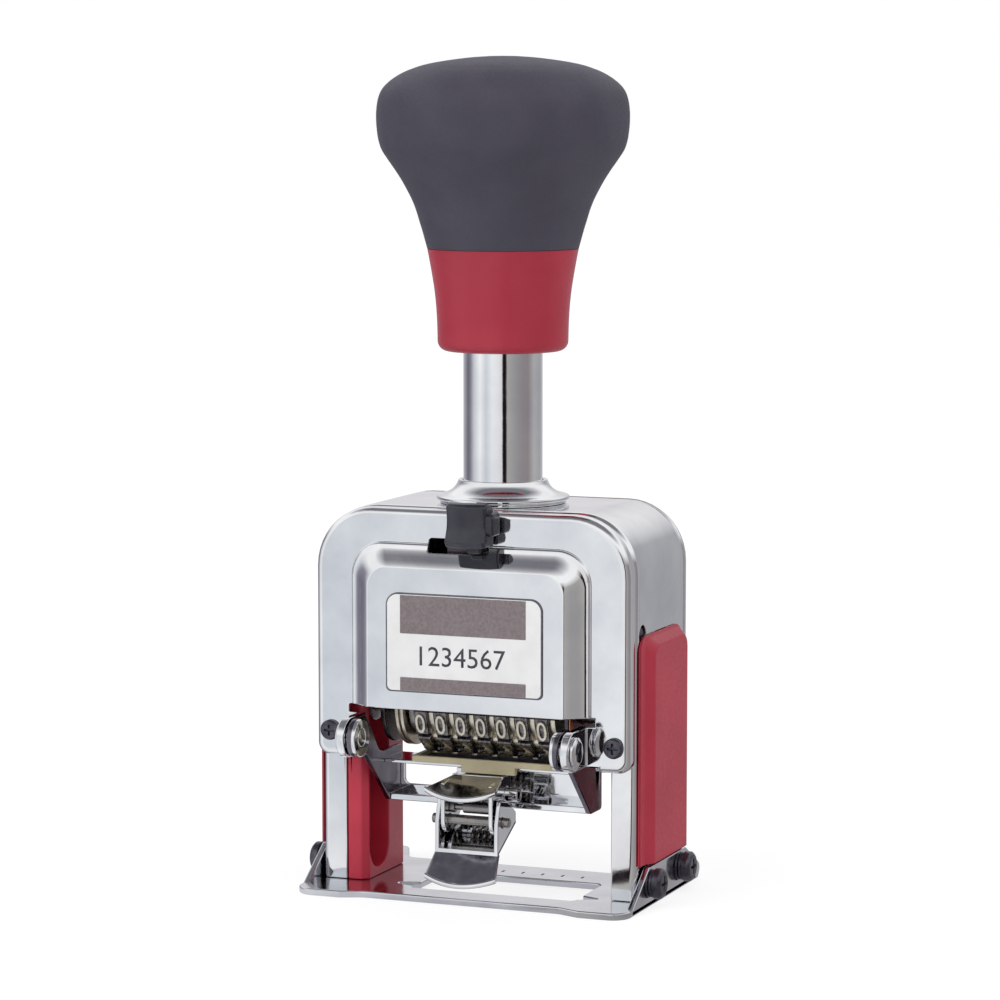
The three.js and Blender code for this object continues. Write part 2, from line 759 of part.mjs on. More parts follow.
// Cover screws: pan heads with a cross slot, through the cover into the frame's flange
function coverScrew(side, seatY, way) {
  const headTop = seatY + way * (seatGap + coverScrewHeadHeight);
  const seat = seatY + way * seatGap;
  const tip = seatY - way * (Math.abs(coverRearY - coverFrontY) + frameWall + coverSeam);
  const x = side * coverScrewX;
  const ordered = (a, b) => [Math.min(a, b), Math.max(a, b)];
  const head = rodY(coverScrewHeadRadius, ...ordered(seat, headTop), x, coverScrewZ);
  const shank = rodY(coverScrewRadius, ...ordered(tip, headTop - way * crossSlotDepth), x, coverScrewZ);
  const arm = coverScrewHeadRadius / 2;
  const slotYs = ordered(headTop - way * crossSlotDepth, headTop + way * overrun);
  const halfSlot = crossSlotWidth / 2;
  const cross = boxOf(x - arm, x + arm, ...slotYs, coverScrewZ - halfSlot, coverScrewZ + halfSlot)
    .add(boxOf(x - halfSlot, x + halfSlot, ...slotYs, coverScrewZ - arm, coverScrewZ + arm));
  return head.add(shank).subtract(cross);
}

const sides = [['left', -1], ['right', 1]];
sides.forEach(([word, side]) => {
  place(`cover_screw_${word}`, coverScrew(side, coverFrontY, -1), blackSteel);
  place(`rear_screw_${word}`, coverScrew(side, frameRearY + seatGap + coverWall, 1), blackSteel);
});

// Guides: red blocks inside the legs with a round-ended slot for a slider. The left one has a nose
// that stands out past the frame's flange; the right one is a plain slotted strip behind it.
const guideOuterX = frameHalfWidth - frameWall - guideStandoff;
const flangeInnerX = frameHalfWidth - frameFlange;
const rightGuideInnerX = flangeInnerX + guideFlangeOverlap;
const guideBottomZ = frameBottomZ;
const slotHalfWidth = sliderRadius + runGap;
const guideMainFrontY = frameFrontY + frameWall + guideStandoff;

function guide(outline, side, slotInnerX, slotOuterX) {
  const [slotY0, slotY1] = [shaftY - slotHalfWidth, shaftY + slotHalfWidth];
  const slot = roundedRect(slotY0, slotY1, guideBottomZ + guideSlotFloor, guideSlotTopZ, slotHalfWidth);
  let body = plateZ(outline, guideBottomZ, guideTopZ)
    .subtract(plateX(slot, ...span(side, slotInnerX, slotOuterX)));
  baseScrewYs.forEach((y) => {
    const [x0, x1] = span(side, guideOuterX - baseScrewReach, guideOuterX + overrun);
    body = body.subtract(rodX(baseScrewRadius + runGap, x0, x1, y, baseScrewZ));
  });
  return body;
}

function leftGuide() {
  const noseX = flangeInnerX - guideStandoff;
  const outline = roundedShape([
    [-guideInnerX, guideFrontY + guideChamfer, 0],
    [-guideInnerX - guideChamfer, guideFrontY, 0],
    [-noseX, guideFrontY, 0],
    [-noseX, guideMainFrontY, 0],
    [-guideOuterX, guideMainFrontY, 0],
    [-guideOuterX, guideRearY, 0],
    [-noseX, guideRearY, 0],
    [-noseX, guideNoseRearY, 0],
    [-guideInnerX, guideNoseRearY, 0],
  ]);
  return guide(outline, -1, guideInnerX - overrun, guideInnerX + guideSlotDepth);
}

function rightGuide() {
  const outline = roundedRect(rightGuideInnerX, guideOuterX, guideMainFrontY, guideRearY, guideStandoff);
  return guide(outline, 1, rightGuideInnerX - overrun, guideOuterX + overrun);
}

// Guards: red mouldings on the outside of the legs, stepped and bevelled at the front and the top
function guardRing(x, frontY, rearY, topZ) {
  const arcPoints = 3;
  const ring = [[x, frontY, guardBottomZ], [x, rearY, guardBottomZ]];
  [[rearY - guardRadius, 0], [frontY + guardRadius, Math.PI / 2]].forEach(([y, start]) => {
    for (let i = 0; i <= arcPoints; i += 1) {
      const angle = start + i / arcPoints * Math.PI / 2;
      ring.push([x, y + guardRadius * Math.cos(angle), topZ - guardRadius + guardRadius * Math.sin(angle)]);
    }
  });
  return ring;
}

function guard(side) {
  const inner = frameHalfWidth + seatGap;
  const stepY = guardFrontY + guardStepInset;
  return loft([
    guardRing(side * inner, guardFrontY, guardRearY, guardTopZ),
    guardRing(side * (inner + guardStepHeight), stepY, guardRearY, guardTopZ - guardRearBevel),
    guardRing(side * (inner + guardHeight), stepY + guardBevelInset, guardRearY - guardRearBevel,
      guardTopZ - guardTopBevel),
  ]);
}

// Base screws: pan head and washer outside each ear, the shank through the leg into the guide
function baseScrew(side, y) {
  const seat = baseHalfWidth + seatGap;
  const neck = seat + baseScrewWasherHeight;
  const head = neck + baseScrewHeadHeight;
  const tip = guideOuterX - baseScrewReach + runGap;
  const along = (a, b) => span(side, a, b);
  const crownRadius = baseScrewHeadRadius - baseScrewCrown;
  const crown = new THREE.CylinderGeometry(
    crownRadius, baseScrewHeadRadius, baseScrewCrown, chords(baseScrewHeadRadius, 2 * Math.PI));
  const dome = solid(crown.rotateZ(-side * Math.PI / 2)
    .translate(side * (head + baseScrewCrown / 2), y, baseScrewZ));
  const arm = baseScrewHeadRadius / 2;
  const half = crossSlotWidth / 2;
  const slotXs = along(head + baseScrewCrown - crossSlotDepth, head + overrun);
  const cross = boxOf(...slotXs, y - arm, y + arm, baseScrewZ - half, baseScrewZ + half)
    .add(boxOf(...slotXs, y - half, y + half, baseScrewZ - arm, baseScrewZ + arm));
  return rodX(baseScrewWasherRadius, ...along(seat, neck), y, baseScrewZ)
    .add(rodX(baseScrewHeadRadius, ...along(neck, head), y, baseScrewZ))
    .add(dome)
    .add(rodX(baseScrewRadius, ...along(tip, neck), y, baseScrewZ))
    .subtract(cross);
}

place('left_guide', leftGuide(), redPlastic);
place('right_guide', rightGuide(), redPlastic);
sides.forEach(([word, side]) => {
  place(`${word}_guard`, guard(side), redPlastic);
  place(`base_screw_${word}_front`, baseScrew(side, baseScrewFrontY), blackSteel);
  place(`base_screw_${word}_rear`, baseScrew(side, baseScrewRearY), blackSteel);
});

// Cross bar for the return spring and stop pin for the carriage, both held in the frame's sides
const crossReach = frameHalfWidth - seatGap;
place('spring_bar', boxOf(-crossReach, crossReach, -springBarHalfWidth, springBarHalfWidth,
  springBarBottomZ, springBarBottomZ + springBarHeight), steel);
place('stop_pin', rodX(stopPinRadius, -crossReach, crossReach, stopPinY, stopPinZ), steel);

// Top collar: sleeve through the frame with a flared flange; a nut holds it from inside
const collarBore = tubeRadius + runGap;
const collarSeatZ = frameTopZ + seatGap;
const collarFlareShares = [[1, 0], [0.62, 0.12], [0.3, 0.36], [0.1, 0.68], [0, 1]];

function topCollar() {
  const discTop = collarSeatZ + collarDiscHeight;
  const rimTop = discTop + collarRimHeight;
  const neckTop = collarSeatZ + collarHeight;
  const flare = collarFlareShares.map(([out, up]) => [
    collarNeckRadius + out * (collarRimRadius - collarNeckRadius),
    rimTop + up * (neckTop - rimTop),
  ]);
  return turned([
    [collarBore, collarSeatZ - collarSleeveLength],
    [collarSleeveRadius, collarSeatZ - collarSleeveLength],
    [collarSleeveRadius, collarSeatZ],
    [collarDiscRadius, collarSeatZ],
    [collarDiscRadius, discTop],
    [collarRimRadius, discTop],
    ...flare,
    [collarBore, neckTop],
  ]);
}

const nutTopZ = frameTopZ - frameWall - seatGap;
place('top_collar', topCollar(), chrome);
place('collar_nut', turned([
  [collarSleeveRadius + runGap, nutTopZ - collarNutHeight],
  [collarNutRadius, nutTopZ - collarNutHeight],
  [collarNutRadius, nutTopZ],
  [collarSleeveRadius + runGap, nutTopZ],
]), steel);

// Plunger tube: slotted on both sides so that it can pass the spring bar
function plungerTube() {
  const bore = tubeRadius - tubeWall;
  const tube = turned([
    [bore, tubeBottomZ],
    [tubeRadius, tubeBottomZ],
    [tubeRadius, tubeTopZ],
    [bore, tubeTopZ],
  ]);
  const slotHalf = springBarHalfWidth + swingGap;
  const slotTop = springBarBottomZ + springBarHeight + pressTravel + swingGap;
  const reach = tubeRadius + overrun;
  const slotBottom = springBarBottomZ - swingGap;
  return tube.subtract(boxOf(-reach, reach, -slotHalf, slotHalf, slotBottom, slotTop));
}

place('plunger_tube', plungerTube(), chrome);

// Spring plug in the tube and the return spring between it and the bar
const boreFit = tubeRadius - tubeWall - runGap;
place('spring_plug', turned([
  [0, springPlugBottomZ],
  [boreFit, springPlugBottomZ],
  [boreFit, springPlugBottomZ + springPlugHeight],
  [0, springPlugBottomZ + springPlugHeight],
]), steel);
const springFootZ = springBarBottomZ + springBarHeight + springWire + swingGap;
const springLength = springPlugBottomZ - springWire - swingGap - springFootZ;
const springShape = coil('return_spring', springRadius, springWire, springLength, springTurns);
place('return_spring', solid(springShape.translate(0, 0, springFootZ)), steel);

// Handle: red collar and black soft grip, both turned
const handleBore = tubeRadius + runGap;
const collarOutlineShares = [
  [0.0, 0.12], [0.05, 0.32], [0.14, 0.46], [0.33, 0.64], [0.66, 0.84], [1, 1],
];
const gripOutlineShares = [
  [0.0, 0], [0.05, 0.045], [0.16, 0.15], [0.3, 0.253], [0.41, 0.31], [0.62, 0.395],
  [0.77, 0.455], [0.9, 0.512], [0.965, 0.575], [0.99, 0.64], [1, 0.7], [0.985, 0.77],
];
const gripShoulderShares = [[0.93, 0.845], [0.82, 0.887], [0.6, 0.94], [0.35, 0.978], [0.12, 0.997]];

function handleCollar() {
  const top = handleJointZ - seatGap;
  const height = top - collarBottomZ;
  const spread = handleJointRadius - handleBottomRadius;
  const side = collarOutlineShares.map(([out, up]) => [
    handleBottomRadius + out * spread,
    collarBottomZ + up * height,
  ]);
  return turned([
    [handleBore, collarBottomZ + handleCounterDepth],
    [handleCounterRadius, collarBottomZ + handleCounterDepth],
    [handleCounterRadius, collarBottomZ],
    [handleBottomRadius - handleEdgeRadius, collarBottomZ],
    [handleBottomRadius - handleEdgeRadius / 4, collarBottomZ + handleEdgeRadius / 2],
    ...side,
    [handleBore, top],
  ]);
}

function handleGrip() {
  const height = gripTopZ - handleJointZ;
  const flare = gripOutlineShares.map(([out, up]) => [
    handleJointRadius + out * (gripRadius - handleJointRadius),
    handleJointZ + up * height,
  ]);
  const shoulder = gripShoulderShares.map(([out, up]) => [out * gripRadius, handleJointZ + up * height]);
  return turned([
    [0, tubeTopZ + swingGap],
    [handleBore, tubeTopZ + swingGap],
    [handleBore, handleJointZ],
    ...flare,
    ...shoulder,
    [0, gripTopZ],
  ]);
}

place('handle_collar', handleCollar(), redPlastic);
place('handle_grip', handleGrip(), blackGrip);

// Carriage: a yoke under the tube with a cheek at each end of the wheel shaft
function carriage() {
  const bottom = shaftZ - carriageCheekRadius;
  const cheek = roundedShape([
    [shaftY - carriageCheekRadius, bottom, carriageCheekRadius],
    [shaftY + carriageCheekRadius, bottom, carriageCheekRadius],
    [carriageRearY, carriageUndersideZ, 0],
    [carriageRearY, carriageTopZ, 0],
    [carriageFrontY, carriageTopZ, 0],
    [carriageFrontY, carriageUndersideZ, 0],
  ].map(([y, z, radius]) => [y, z, radius * carriageCornerShare]));
  let body = boxOf(-carriageHalfWidth, carriageHalfWidth, carriageFrontY, carriageRearY,
    carriageUndersideZ, carriageTopZ);
  body = body.add(both((side) => plateX(
    cheek, ...span(side, carriageHalfWidth - carriagePlate, carriageHalfWidth))));
  const reach = carriageHalfWidth + overrun;
  body = body.subtract(rodX(shaftRadius + runGap, -reach, reach, shaftY, shaftZ));
  const tubeHole = new THREE.CylinderGeometry(
    tubeRadius + runGap, tubeRadius + runGap, typeDistance, turnedSides).rotateX(Math.PI / 2);
  return body.subtract(solid(tubeHole.translate(0, 0, carriageTopZ)));
}

place('carriage', carriage(), steel);
const leafInnerX = carriageHalfWidth + seatGap;
place('leaf_spring', boxOf(leafInnerX, leafInnerX + leafThickness, carriageFrontY, carriageFrontY + leafWidth,
  shaftZ - leafHeight / 2, shaftZ + leafHeight / 2), brassy);

// Wheel shaft and the sliders on its ends, which run in the guides' slots
const leftSliderXs = span(-1, guideInnerX + swingGap, guideInnerX + guideSlotDepth - swingGap);
const rightSliderXs = span(1, rightGuideInnerX + swingGap, guideOuterX - swingGap);
place('wheel_shaft', rodX(shaftRadius, leftSliderXs[0], rightSliderXs[1], shaftY, shaftZ), steel);
[['left_slider', leftSliderXs], ['right_slider', rightSliderXs]].forEach(([name, [x0, x1]]) => {
  const bush = rodX(sliderRadius, x0, x1, shaftY, shaftZ)
    .subtract(rodX(shaftRadius + seatGap, x0 - overrun, x1 + overrun, shaftY, shaftZ));
  place(name, bush, steel);
});

// Number wheels: a drum with ten raised type blocks and a ratchet at its right edge
const drumRadius = typeDistance - typeHeight;
const ratchetWidth = wheelPitch - wheelGap - typeWidth;
const shaftBore = shaftRadius + runGap;

function ratchet(x0, x1) {
  const shape = new THREE.Shape(Array.from({ length: 2 * figureCount }, (_, i) => {
    const tooth = Math.floor(i / 2);
    const angle = 2 * Math.PI * (tooth + (i % 2) * 0.12) / figureCount;
    const radius = i % 2 ? ratchetRadius : ratchetRadius - ratchetToothDepth;
    return new THREE.Vector2(shaftY + radius * Math.cos(angle), shaftZ + radius * Math.sin(angle));
  }));
  return plateX(shape, x0, x1);
}

function numberWheel(index) {
  const x0 = wheelLeftX + index * wheelPitch + wheelGap / 2;
  const x1 = x0 + typeWidth;
  let body = rodX(drumRadius, x0, x1, shaftY, shaftZ, 2 * figureCount);
  for (let figure = 0; figure < figureCount; figure += 1) {
    const block = new THREE.BoxGeometry(typeWidth, typeLength, 2 * typeHeight)
      .translate((x0 + x1) / 2, 0, typeDistance - typeHeight)
      .rotateX(figure * 2 * Math.PI / figureCount)
      .translate(0, shaftY, shaftZ);
    body = body.add(solid(block));
  }
  return body
    .add(ratchet(x1, x1 + ratchetWidth))
    .subtract(rodX(shaftBore, x0 - overrun, x1 + ratchetWidth + overrun, shaftY, shaftZ));
}

for (let index = 0; index < wheelCount; index += 1) {
  place(`number_wheel_${index + 1}`, numberWheel(index), steel);
}

// Feed frame: a double disc and an arm on the shaft, joined by a bar behind the wheels
const feedBarY = shaftY + feedBarReach;

function feedFrame() {
  const groove = rodX(discRadius - discGrooveDepth, discLeftX, discRightX, shaftY, shaftZ);
  const leftDisc = rodX(discRadius, discLeftX, discLeftX + discThickness, shaftY, shaftZ);
  const rightDisc = rodX(discRadius, discRightX - discThickness, discRightX, shaftY, shaftZ);
  const armShape = roundedRect(shaftY - sliderRadius, feedBarY + feedBarRadius,
    shaftZ - feedBarRadius, shaftZ + feedBarRadius, feedBarRadius);
  const leftArm = plateX(armShape, discLeftX, discRightX);
  const rightArm = plateX(armShape, feedArmX, feedArmX + feedArmThickness)
    .add(rodX(sliderRadius, feedArmX, feedArmX + feedArmThickness, shaftY, shaftZ));
  const armRightX = feedArmX + feedArmThickness;
  const bar = rodX(feedBarRadius, discLeftX, armRightX, feedBarY, shaftZ, figureCount);
  return groove.add(leftDisc).add(rightDisc).add(leftArm).add(rightArm).add(bar)
    .subtract(rodX(shaftBore, discLeftX - overrun, armRightX + overrun, shaftY, shaftZ));
}

// Pawl comb: a plate under the feed bar with one finger for each wheel's ratchet
function pawlComb() {
  const top = shaftZ - feedBarRadius - seatGap;
  const bottom = top - pawlHeight;
  const rootY = feedBarY - feedBarRadius;
  const rearY = feedBarY + feedBarRadius;
  let body = boxOf(discRightX + swingGap, feedArmX - swingGap, rootY, rearY, bottom, top);
  const reach = ratchetRadius + swingGap;
  const drop = feedBarRadius + pawlHeight;
  const tipY = shaftY + Math.sqrt(reach ** 2 - drop ** 2) + swingGap;
  const firstX = wheelLeftX + wheelGap / 2 + typeWidth + (ratchetWidth - pawlThickness) / 2;
  for (let index = 0; index < wheelCount; index += 1) {
    const x0 = firstX + index * wheelPitch;
    body = body.add(boxOf(x0, x0 + pawlThickness, tipY, rootY + seatGap, bottom, top - pawlHeight / 2));
  }
  return body;
}

place('feed_frame', feedFrame(), steel);
place('pawl_comb', pawlComb(), steel);
const spacerX0 = discRightX + wheelGap;
place('shaft_spacer', rodX(spacerRadius, spacerX0, wheelLeftX - wheelGap / 2, shaftY, shaftZ)
  .subtract(rodX(shaftRadius + seatGap, spacerX0 - overrun, wheelLeftX + overrun, shaftY, shaftZ)), steel);

// Ink-pad frame: U stamping with two arms, a shelf for the pad, a back plate and a bottom lip
function padFrame() {
  const shelfBottomZ = shelfTopZ - shelfThickness;
  const arm = roundedShape([
    [pivotY - eyeRadius, pivotZ - eyeRadius, eyeRadius],
    [pivotY + eyeRadius, pivotZ - eyeRadius, eyeThickness],
    [padFrameLipFrontY, padFrameBottomZ, padFrameWall],
    [padFrameRearY, padFrameBottomZ, padFrameWall],
    [padFrameRearY, armTopZ, padFrameWall],
    [armShoulderY, armTopZ, eyeRadius],
    [pivotY + eyeRadius, pivotZ + eyeRadius, eyeThickness],
    [pivotY - eyeRadius, pivotZ + eyeRadius, eyeRadius],
  ]);
  const eyeXs = [armOuterX - eyeThickness, armOuterX + seatGap];
  let body = both((side) => plateX(arm, ...span(side, armInnerX, armOuterX))
    .add(rodX(eyeRadius, ...span(side, ...eyeXs), pivotY, pivotZ)));
  const plateFrontY = padFrameRearY - padFrameWall;
  const inside = armInnerX + seatGap;
  body = body
    .add(boxOf(-inside, inside, plateFrontY, padFrameRearY, padFrameBottomZ, shelfTopZ))
    .add(boxOf(-inside, inside, shelfFrontY, padFrameRearY, shelfBottomZ, shelfTopZ))
    .add(boxOf(-inside, inside, padFrameLipFrontY, padFrameRearY, padFrameBottomZ,
      padFrameBottomZ + padFrameLipThickness));
  const windowBottomZ = padFrameBottomZ + padFrameLipThickness + padWindowMargin;
  const windowTopZ = shelfBottomZ - padWindowMargin / 2;
  const window = roundedRect(
    padWindowLeftX, padWindowRightX, windowBottomZ, windowTopZ, padWindowMargin);
  const reach = armOuterX + overrun;
  return body
    .subtract(plateY(window, plateFrontY - overrun, padFrameRearY + overrun))
    .subtract(rodX(pivotPinRadius + runGap, -reach, reach, pivotY, pivotZ));
}

place('pad_frame', padFrame(), chrome);

// Pivot pins: headed outside each ear, through the ear and the arm's eye
sides.forEach(([word, side]) => {
  const headInnerX = earInnerX + earThickness + seatGap;
  const headOuterX = headInnerX + pivotHeadLength;
  const pin = rodX(pivotPinRadius, ...span(side, armOuterX - eyeThickness, headOuterX), pivotY, pivotZ);
  const head = rodX(pivotHeadRadius, ...span(side, headInnerX, headOuterX), pivotY, pivotZ);
  place(`pivot_pin_${word}`, pin.add(head), chrome);
});

// Pad case with a lug in front of the shelf, and the inked felt in it
function padCase() {
  const bottom = shelfTopZ + seatGap;
  const floor = bottom + padCaseFloor;
  const lugRearY = shelfFrontY - runGap;
  const lugBottom = shelfTopZ - padCaseLugDrop;
  return boxOf(padCaseLeftX, padCaseRightX, padCaseFrontY, padCaseRearY, bottom, padCaseTopZ)
    .subtract(boxOf(padCaseLeftX + padCaseWall, padCaseRightX - padCaseWall,
      padCaseFrontY + padCaseWall, padCaseRearY - padCaseWall, floor, padCaseTopZ + overrun))
    .add(boxOf(padCaseLugLeftX, padCaseLugRightX, padCaseFrontY, lugRearY, lugBottom, floor));
}

function inkPad() {
  const inset = padCaseWall + runGap;
  const bottom = shelfTopZ + 2 * seatGap + padCaseFloor;
  return boxOf(padCaseLeftX + inset, padCaseRightX - inset,
    padCaseFrontY + inset, padCaseRearY - inset, bottom, padTopZ);
}

place('pad_case', padCase(), creamPlastic);
place('ink_pad', inkPad(), inkFelt);

// A dished tab: its outline widens towards a bowed front edge, and its sides curl up
function dishedTab(rear, front, dish, bow, thickness) {
  const across = 8;
  const along = 3;
  const rings = [];
  for (let row = 0; row <= along; row += 1) {
    const t = row / along;
    const upper = [];
    const lower = [];
    for (let column = 0; column <= across; column += 1) {
      const s = 2 * column / across - 1;
      const half = rear.halfWidth + (front.halfWidth - rear.halfWidth) * t;
      const y = rear.y + (front.y - rear.y) * t + bow * t * s * s;
      const z = rear.z + (front.z - rear.z) * t + dish * t * s * s;
      upper.push([s * half, y, z + thickness]);
      lower.unshift([s * half, y, z]);
    }
    rings.push([...upper, ...lower]);
  }
  return loft(rings);
}

// Upper grip: plate under the shelf, two cheeks for the latch pin and the upper pinch tab
function upperGrip() {
  const plateUndersideZ = gripPlateTopZ - gripPlateThickness;
  const cheek = roundedShape([
    [latchPinY - latchHubRadius, latchPinZ - latchHubRadius, latchHubRadius],
    [latchPinY + latchHubRadius, latchPinZ - latchHubRadius, latchHubRadius],
    [gripRearY, crossTubeZ - crossTubeRadius * 2, crossTubeRadius],
    [gripRearY, gripPlateTopZ, 0],
    [latchPinY - latchHubRadius, plateUndersideZ, 0],
  ]);
  const inner = gripCheekOuterX - gripCheekThickness;
  let body = both((side) => plateX(cheek, ...span(side, inner, gripCheekOuterX)));
  body = body
    .add(boxOf(-gripCheekOuterX, gripCheekOuterX, gripBendY, gripRearY, plateUndersideZ, gripPlateTopZ))
    .add(boxOf(-gripCheekOuterX, gripCheekOuterX, shelfFrontY + runGap, gripRearY, plateUndersideZ,
      shelfTopZ - shelfThickness - seatGap))
    .add(dishedTab(
      { halfWidth: gripTabRearHalfWidth, y: gripBendY + gripPlateThickness, z: plateUndersideZ },
      { halfWidth: gripTabFrontHalfWidth, y: gripTabFrontY, z: gripPlateTopZ - gripTabFall },
      gripTabDish, gripTabBow, gripPlateThickness));
  const reach = gripCheekOuterX + overrun;
  return body
    .subtract(rodX(latchPinRadius + seatGap, -reach, reach, latchPinY, latchPinZ))
    .subtract(rodX(crossTubeRadius + seatGap, -reach, reach, crossTubeY, crossTubeZ));
}

// Spacer bar between the grip's cheeks, with a turned neck near its left end
function gripSpacer() {
  const half = gripCheekOuterX - gripCheekThickness - seatGap;
  const z = latchPinZ + gripSpacerRise;
  const neckEndX = gripSpacerNeckX + gripSpacerNeckLength;
  return rodX(gripSpacerNeckRadius, -half, half, gripSpacerY, z)
    .add(rodX(gripSpacerRadius, -half, gripSpacerNeckX, gripSpacerY, z))
    .add(rodX(gripSpacerRadius, neckEndX, half, gripSpacerY, z));
}

// Cross tube through the cheeks' rear corners, open at both ends
function crossTube() {
  const half = latchPinHalfLength;
  return rodX(crossTubeRadius, -half, half, crossTubeY, crossTubeZ)
    .subtract(rodX(crossTubeBore, -half - overrun, half + overrun, crossTubeY, crossTubeZ));
}

place('upper_grip', upperGrip(), chrome);
const [pinX0, pinX1] = [-latchPinHalfLength, latchPinHalfLength];
place('latch_pin', rodX(latchPinRadius, pinX0, pinX1, latchPinY, latchPinZ), steel);
place('grip_spacer', gripSpacer(), steel);
place('cross_tube', crossTube(), chrome);

// Latch spring: coiled round the cross tube between the cheeks
const latchSpringHalf = gripCheekOuterX - gripCheekThickness - latchSpringWire - swingGap;
const latchCoil = coil(
  'latch_spring', latchSpringRadius, latchSpringWire, 2 * latchSpringHalf, latchSpringTurns)
  .rotateY(Math.PI / 2)
  .translate(-latchSpringHalf, crossTubeY, crossTubeZ);
place('latch_spring', solid(latchCoil), steel);

// Latch lever: two cheeks on the pin, a web that slopes up behind it and the lower pinch tongue
function latchLever() {
  const outer = latchCheekInnerX + latchCheekThickness;
  const bendZ = latchPinZ - latchBendDrop;
  const rearZ = latchPinZ - latchRearDrop;
  const headZ = latchPinZ + latchHeadHeight;
  const headHalf = latchHubRadius / 2;
  const cheek = roundedShape([
    [latchBendY, bendZ - latchCheekThickness, 0],
    [latchRearY, rearZ - latchCheekThickness, 0],
    [latchRearY, rearZ + latchRearHeight, headHalf / 2],
    [latchPinY + headHalf, headZ, headHalf / 2],
    [latchPinY - headHalf, headZ, headHalf / 2],
    [latchPinY - latchHubRadius, latchPinZ, 0],
  ]);
  const web = roundedShape([
    [latchBendY, bendZ - latchCheekThickness, 0],
    [latchRearY, rearZ - latchCheekThickness, 0],
    [latchRearY, rearZ, 0],
    [latchBendY, bendZ, 0],
  ]);
  return both((side) => plateX(cheek, ...span(side, latchCheekInnerX, outer)))
    .add(plateX(web, -outer, outer))
    .add(dishedTab(
      { halfWidth: outer, y: latchBendY + latchCheekThickness, z: bendZ - latchCheekThickness },
      { halfWidth: latchTongueFrontHalfWidth, y: latchTongueFrontY, z: latchPinZ - latchTongueDrop },
      latchTongueDish, gripTabBow, latchCheekThickness))
    .subtract(rodX(latchPinRadius + runGap, -outer - overrun, outer + overrun, latchPinY, latchPinZ));
}

place('latch_lever', latchLever(), chrome);

// Selector: a thumb piece in front of the cover, its stem through the slot and a slide behind
const knobRearY = coverFrontY - stepHeight - swingGap;
const slideFrontY = coverFrontY + coverWall + swingGap;
const stemBottomZ = selectorSlotBottomZ + swingGap;
const stemTopZ = selectorSlotTopZ - swingGap;

function selectorKnob() {
  const front = knobRearY - knobReach;
  const height = knobHeight;
  const profile = roundedShape([
    [knobRearY, knobBottomZ, 0],
    [knobRearY, knobTopZ - height / 4, height / 8],
    [knobRearY - knobReach / 2, knobTopZ, height / 8],
    [front + knobReach / 4, knobTopZ - height / 8, height / 8],
    [front + knobReach / 4, knobBottomZ + height / 2, height / 8],
    [front, knobBottomZ + height / 8, height / 16],
    [front + knobReach / 8, knobBottomZ, height / 16],
  ]);
  const finProfile = roundedShape([
    [knobRearY, knobBottomZ + height / 4, 0],
    [knobRearY, knobTopZ - height / 6, height / 8],
    [front + knobReach / 3, knobTopZ - height / 4, height / 8],
    [front + knobReach / 3, knobBottomZ + height / 4, height / 8],
  ]);
  const right = knobLeftX + knobWidth;
  const stemRight = knobStemLeftX + knobStemWidth;
  return plateX(profile, knobLeftX, right)
    .add(plateX(finProfile, right, right + knobFinWidth))
    .add(boxOf(knobStemLeftX, stemRight, knobRearY - knobReach / 4, slideFrontY, stemBottomZ, stemTopZ));
}

function selectorSlide() {
  const middleZ = (stemBottomZ + stemTopZ) / 2;
  const centreX = knobStemLeftX + knobStemWidth / 2;
  return boxOf(centreX - selectorSlideHalfWidth, centreX + selectorSlideHalfWidth, slideFrontY + seatGap,
    slideFrontY + seatGap + selectorSlideThickness, middleZ - selectorSlideHeight / 2,
    middleZ + selectorSlideHeight / 2);
}

place('selector_knob', selectorKnob(), blackPlastic);
place('selector_slide', selectorSlide(), steel);

export default group;
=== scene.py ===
import math

import bmesh
import bpy
import numpy as np
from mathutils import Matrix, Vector


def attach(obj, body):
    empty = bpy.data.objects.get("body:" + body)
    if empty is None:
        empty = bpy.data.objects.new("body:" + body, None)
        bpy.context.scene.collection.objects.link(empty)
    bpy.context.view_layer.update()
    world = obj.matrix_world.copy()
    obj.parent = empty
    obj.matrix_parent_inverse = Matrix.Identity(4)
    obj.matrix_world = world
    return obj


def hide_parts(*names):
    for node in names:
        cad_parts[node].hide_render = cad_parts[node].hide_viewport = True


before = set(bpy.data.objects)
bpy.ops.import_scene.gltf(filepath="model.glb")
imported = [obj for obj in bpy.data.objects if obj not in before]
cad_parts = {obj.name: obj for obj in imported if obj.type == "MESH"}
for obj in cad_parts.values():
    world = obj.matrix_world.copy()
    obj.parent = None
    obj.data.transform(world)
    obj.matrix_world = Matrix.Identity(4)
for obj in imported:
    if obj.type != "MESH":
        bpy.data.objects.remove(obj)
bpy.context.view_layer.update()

MM = 0.001
link = bpy.context.scene.collection.objects.link

# Camera. It stands where the photograph was taken: a little right of the front and slightly above, with a
# long lens. A pixel of the 1000 x 1000 picture is a fixed angle, and the aim is three pixels left of the axis.
camera_turn = math.radians(21.5)
camera_rise = math.radians(6.1)
camera_distance = 670 * MM
pixels_per_mm = 5.5
aim_height = 70.8 * MM
aim_left = 3 / pixels_per_mm * MM
picture_width = 1000
sideways = Vector((math.cos(camera_turn), math.sin(camera_turn), 0))
backwards = Vector((
    math.sin(camera_turn) * math.cos(camera_rise),
    -math.cos(camera_turn) * math.cos(camera_rise),
    math.sin(camera_rise),
))
aim = Vector((0, 0, aim_height)) - sideways * aim_left
lens = bpy.data.cameras.new("camera")
lens.sensor_width = 36
lens.lens = lens.sensor_width * pixels_per_mm * camera_distance / MM / picture_width
lens.clip_start = 0.01
lens.clip_end = 20
camera = bpy.data.objects.new("camera", lens)
camera.location = aim + backwards * camera_distance
camera.rotation_euler = backwards.to_track_quat("Z", "Y").to_euler()
link(camera)
bpy.context.scene.camera = camera
bpy.context.scene.view_settings.view_transform = "Standard"


